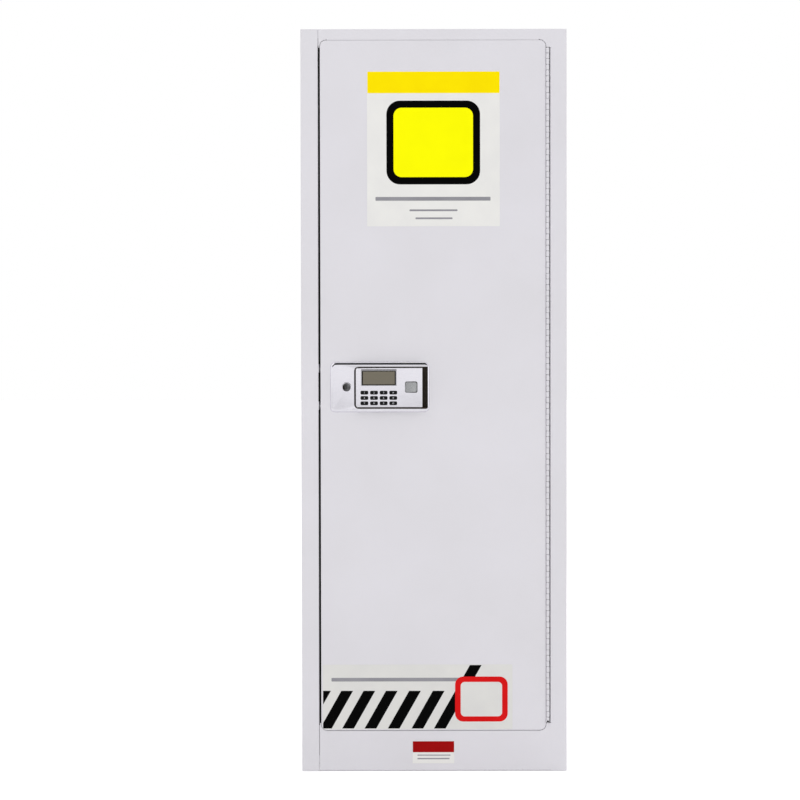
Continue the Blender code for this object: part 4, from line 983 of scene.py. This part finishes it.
def vent_pieces(hand, side):
    """Turned vent tube with its screen, and a ribbed screw cap with a grip bar.

    The cap's rim is a circle whose radius swells and shrinks as cos(24 a), carried up its
    height and over a rounded shoulder to the middle.
    """
    cap_node = "vent_cap_" + hand
    centre = middle_of(cap_node)
    centre = (centre.y, centre.z)
    wall = [(0.024, -0.0415), (0.028, -0.0415), (0.028, 0.0003), (0.0350, 0.0003),
            (0.0358, 0.0009), (0.0358, 0.0014), (0.0352, 0.0020), (0.028, 0.0020),
            (0.028, 0.0070), (0.024, 0.0070)]
    wall = [(radius, side * (half_width + out)) for radius, out in wall]
    turned("vent_tube_" + hand, "cabinet", wall, "X", centre, plated,
           "vent_collar_" + hand)

    def stood(outline, out):
        """An outline of (y, z) placed outwards from the side panel."""
        return np.column_stack([np.full(len(outline), side * (half_width + out)), outline])

    faces_out = (-0.0100, -0.0120)
    slot_pitch, slot_half, slots_reach = 0.0048, 0.0014, 0.0225
    outlines = [circle(centre, 0.0255, 48)]
    for step in range(-4, 5):
        y = centre[0] + step * slot_pitch
        reach = math.sqrt(slots_reach ** 2 - (step * slot_pitch) ** 2) - 0.001
        outlines.append(rounded((y - slot_half, y + slot_half),
                                (centre[1] - reach, centre[1] + reach), 0.0013, 5))
    points, faces = filled(outlines, 0.0)
    parts = [(stood(points[:, [0, 2]], out), faces) for out in faces_out]
    parts += [skin([stood(outline, out) for out in faces_out], (False, False))
              for outline in outlines]
    new_piece("vent_screen_" + hand, "cabinet", gathered(parts), [plated])

    count, ribs = 192, 24
    wave = np.cos(ribs * around(count))
    profile = [(0.0, 0.0076, 0.0), (0.0286, 0.0076, 0.0), (0.0286, 0.0023, 0.0),
               (0.0318, 0.0023, 0.0006), (0.0324, 0.0027, 0.0006), (0.0324, 0.0078, 0.0006),
               (0.0321, 0.0086, 0.0005), (0.0312, 0.0092, 0.0003), (0.0295, 0.0093, 0.0),
               (0.0285, 0.0088, 0.0), (0.0, 0.0088, 0.0)]
    cap = skin([stood(circle(centre, radius + swell * wave, count), out)
                for radius, out, swell in profile], (False, False))
    new_piece("vent_cap_dressed_" + hand, cap_node, gathered([cap], True), [cap_plastic],
              cap_node, 40)
    spans = ((centre[0] - 0.0050, centre[0] + 0.0050), (centre[1] - 0.0280, centre[1] + 0.0280))
    grip = skin([stood(rounded(*grown(spans, -inset), 0.0048 - inset, 8), out) for out, inset in
                 ((0.0087, 0.0), (0.0110, 0.0), (0.0118, 0.0004), (0.0123, 0.0014))])
    new_piece("vent_grip_" + hand, cap_node, gathered([grip], True), [cap_plastic],
              smooth=50)


def door_seal():
    """Foam strip round the door stop: a flat ring whose near edges are rounded.

    The ring is the stop's outline and the same outline drawn in by the strip's width, both
    carried forward from the stop and eased towards each other at the front.
    """
    seat = stop_face - 0.00005
    near = seat - 0.0026
    ease, width = 0.0008, 0.0105
    spans = ((-0.2552, 0.2540), (0.1066, 1.6109))
    levels = [(0.0, seat), (0.0, near + ease), (ease, near), (width - ease, near),
              (width, near + ease), (width, seat), (0.0, seat)]
    outlines = [rounded(*grown(spans, -inset), 0.001, 2) for inset, _ in levels]
    strip = tube(outlines, *(depth for _, depth in levels))
    new_piece("door_seal", "cabinet", gathered([strip]), [seal_rubber_and_shade], smooth=50)


def gap_painted_light():
    """Painted light: coat-coloured strips, flush with the frame's face, that fill the door's gaps
    at the hinge's side and above so that they read as lit.

    Each is an outline carried straight: three lengths up the right stile's edge, the middle one
    beside the knuckles, and one along the top rail's lower edge between the door's corners.
    """
    flush = front - 0.00001
    parts = []
    for left, low, high in ((0.2602, 0.0020, hinge_bottom - 0.00005),
                            (0.2588, hinge_bottom, hinge_top),
                            (0.2602, hinge_top + 0.00005, 1.6480)):
        outline = rounded((left, 0.2636), (flush, flush + 0.0030), 0.0001, 2)
        parts.append(upright(outline, low, high))
    low, high = door_top + 0.0003, 1.6295
    outline = [(flush, low + 0.0001), (flush + 0.0001, low), (flush + 0.0035, low),
               (flush + 0.0035, high), (flush, high)]
    ends = (door_left + 0.016, door_right - 0.016)
    parts.append(skin([[(x, y, z) for y, z in outline] for x in ends]))
    new_piece("gap_painted_light", "cabinet", gathered(parts), [coat])


def closing_gap_shade():
    """Black strip on the closing stile's reveal, in three lengths between the bolts, as painted
    shade in the gap beside the door's edge.

    Each length is an outline carried up from one height to another; its lip laps 0.8 mm over
    the stile's face.
    """
    room, end_gap = 0.0095, 0.012
    heights = (door_bottom + end_gap, bolt_low - room, bolt_low + room, bolt_high - room,
               bolt_high + room, door_top - end_gap)
    lap, proud, thick, curl, sunk = 0.0008, 0.0002, 0.0008, 0.0016, 0.0002
    outline = np.array([(stile_edge - lap, front - proud), (stile_edge + thick, front - proud),
                        (stile_edge + thick, stop_face), (stile_edge - sunk, stop_face),
                        (stile_edge - sunk, front + curl), (stile_edge - lap, front + curl)])
    parts = [upright(outline, *span) for span in zip(heights[::2], heights[1::2])]
    new_piece("closing_gap_painted_shade", "cabinet", gathered(parts), [seal_rubber_and_shade])


door_seal()
gap_painted_light()
closing_gap_shade()
vent_pieces("left", -1)
vent_pieces("right", 1)

for node in nodes_named("foot_"):
    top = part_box(node)[1].z
    profile = [(0.0, 0.0), (0.0145, 0.0), (0.0165, 0.0008), (0.0178, 0.0024), (0.0180, 0.0034),
               (0.0180, 0.0056), (0.0174, 0.0062), (0.0060, 0.0088), (0.0050, 0.0092),
               (0.0050, top), (0.0, top)]
    turned(node + "_turned", node, profile, "Z", middle_of(node), plated, node, 48)

tip = door_left - 0.0026
profile = [(0.0, tip - 0.00005), (0.0058, tip - 0.00005), (0.00727, tip + 0.0014),
           (0.00727, tip + 0.0035), (0.0, tip + 0.0035)]
for name, height in (("bolt_nose_low", bolt_low), ("bolt_nose_high", bolt_high)):
    turned(name, "bolt_carriage", profile, "X", (bolt_y, height), plated, count=40)


# Camera, floor and light

def stage_board(name, x, y, z, material):
    """A flat board on the stage, with a low and a high place on each axis."""
    mesh = bpy.data.meshes.new(name)
    mesh.from_pydata([(x[0], y[0], z[0]), (x[1], y[0], z[0]), (x[1], y[1], z[1]),
                      (x[0], y[1], z[1])], [], [(0, 1, 2, 3)])
    mesh.materials.append(material)
    piece = linked(name, mesh)
    return piece


def matt_floor(name):
    """Matt white floor that glows a little to the camera, so that it is as white as the wall."""
    material, tree, shader, _ = principled(name, "FFFFFF", Roughness=0.9, Specular_IOR_Level=0.1,
                                           Emission_Color=(1.0, 1.0, 1.0, 1.0))
    paths = add(tree, "ShaderNodeLightPath").outputs
    wire(shader, Emission_Strength=outcome(tree, "MULTIPLY", paths["Is Camera Ray"], 0.42))
    return material


stage_board("floor", (-40.0, 40.0), (-40.0, 40.0), (0.0, 0.0), matt_floor("matt_white_floor"))

# A white studio, dimmer where it lights than where it is seen
world = bpy.data.worlds.new("studio")
bpy.context.scene.world = world
world.use_nodes = True
tree = world.node_tree
for node in list(tree.nodes):
    tree.nodes.remove(node)
paths = add(tree, "ShaderNodeLightPath").outputs
seen_ray = outcome(tree, "MAXIMUM", paths["Is Camera Ray"], paths["Is Glossy Ray"])
seen_ray = outcome(tree, "MAXIMUM", seen_ray, paths["Is Transmission Ray"])
sky = add(tree, "ShaderNodeBackground", {"Color": (1.0, 1.0, 1.0, 1.0),
                                         "Strength": span_map(tree, seen_ray, 0.76, 1.0)})
add(tree, "ShaderNodeOutputWorld", {"Surface": sky.outputs[0]})


def soft_lamp(name, place, target, size, power):
    """A square soft box that looks at a point."""
    lamp = bpy.data.lights.new(name, "AREA")
    lamp.size = size
    lamp.energy = power
    item = linked(name, lamp)
    item.location = place
    item.rotation_euler = (Vector(target) - Vector(place)).to_track_quat("-Z", "Y").to_euler()


soft_lamp("key_light", (-1.6, -3.4, 3.0), (0.0, 0.0, 0.9), 2.4, 29.0)
soft_lamp("fill_light", (2.6, -2.8, 1.8), (0.0, 0.0, 0.8), 2.4, 13.0)
soft_lamp("rear_light", (0.8, 3.4, 2.8), (0.0, 0.0, 0.9), 2.6, 30.0)


# A dark board before the cabinet, which only the polished faces show
card = stage_board("upper_card", (-2.6, 2.6), (-3.2, -3.2), (1.06, 12.0),
                   principled("black_card", "050506", Roughness=1.0)[0])
for ray in ("camera", "diffuse", "shadow", "transmission"):
    setattr(card, "visible_" + ray, False)

camera_data = bpy.data.cameras.new("camera")
camera_data.sensor_width = 36.0
camera_data.lens = camera_data.sensor_width * camera_distance / (camera_pixel * picture_size)
camera_data.clip_end = 200.0
camera = linked("camera", camera_data)
camera.location = camera_place
camera.rotation_euler = camera_turn.to_euler()
bpy.context.scene.camera = camera
bpy.context.scene.view_settings.view_transform = "Standard"
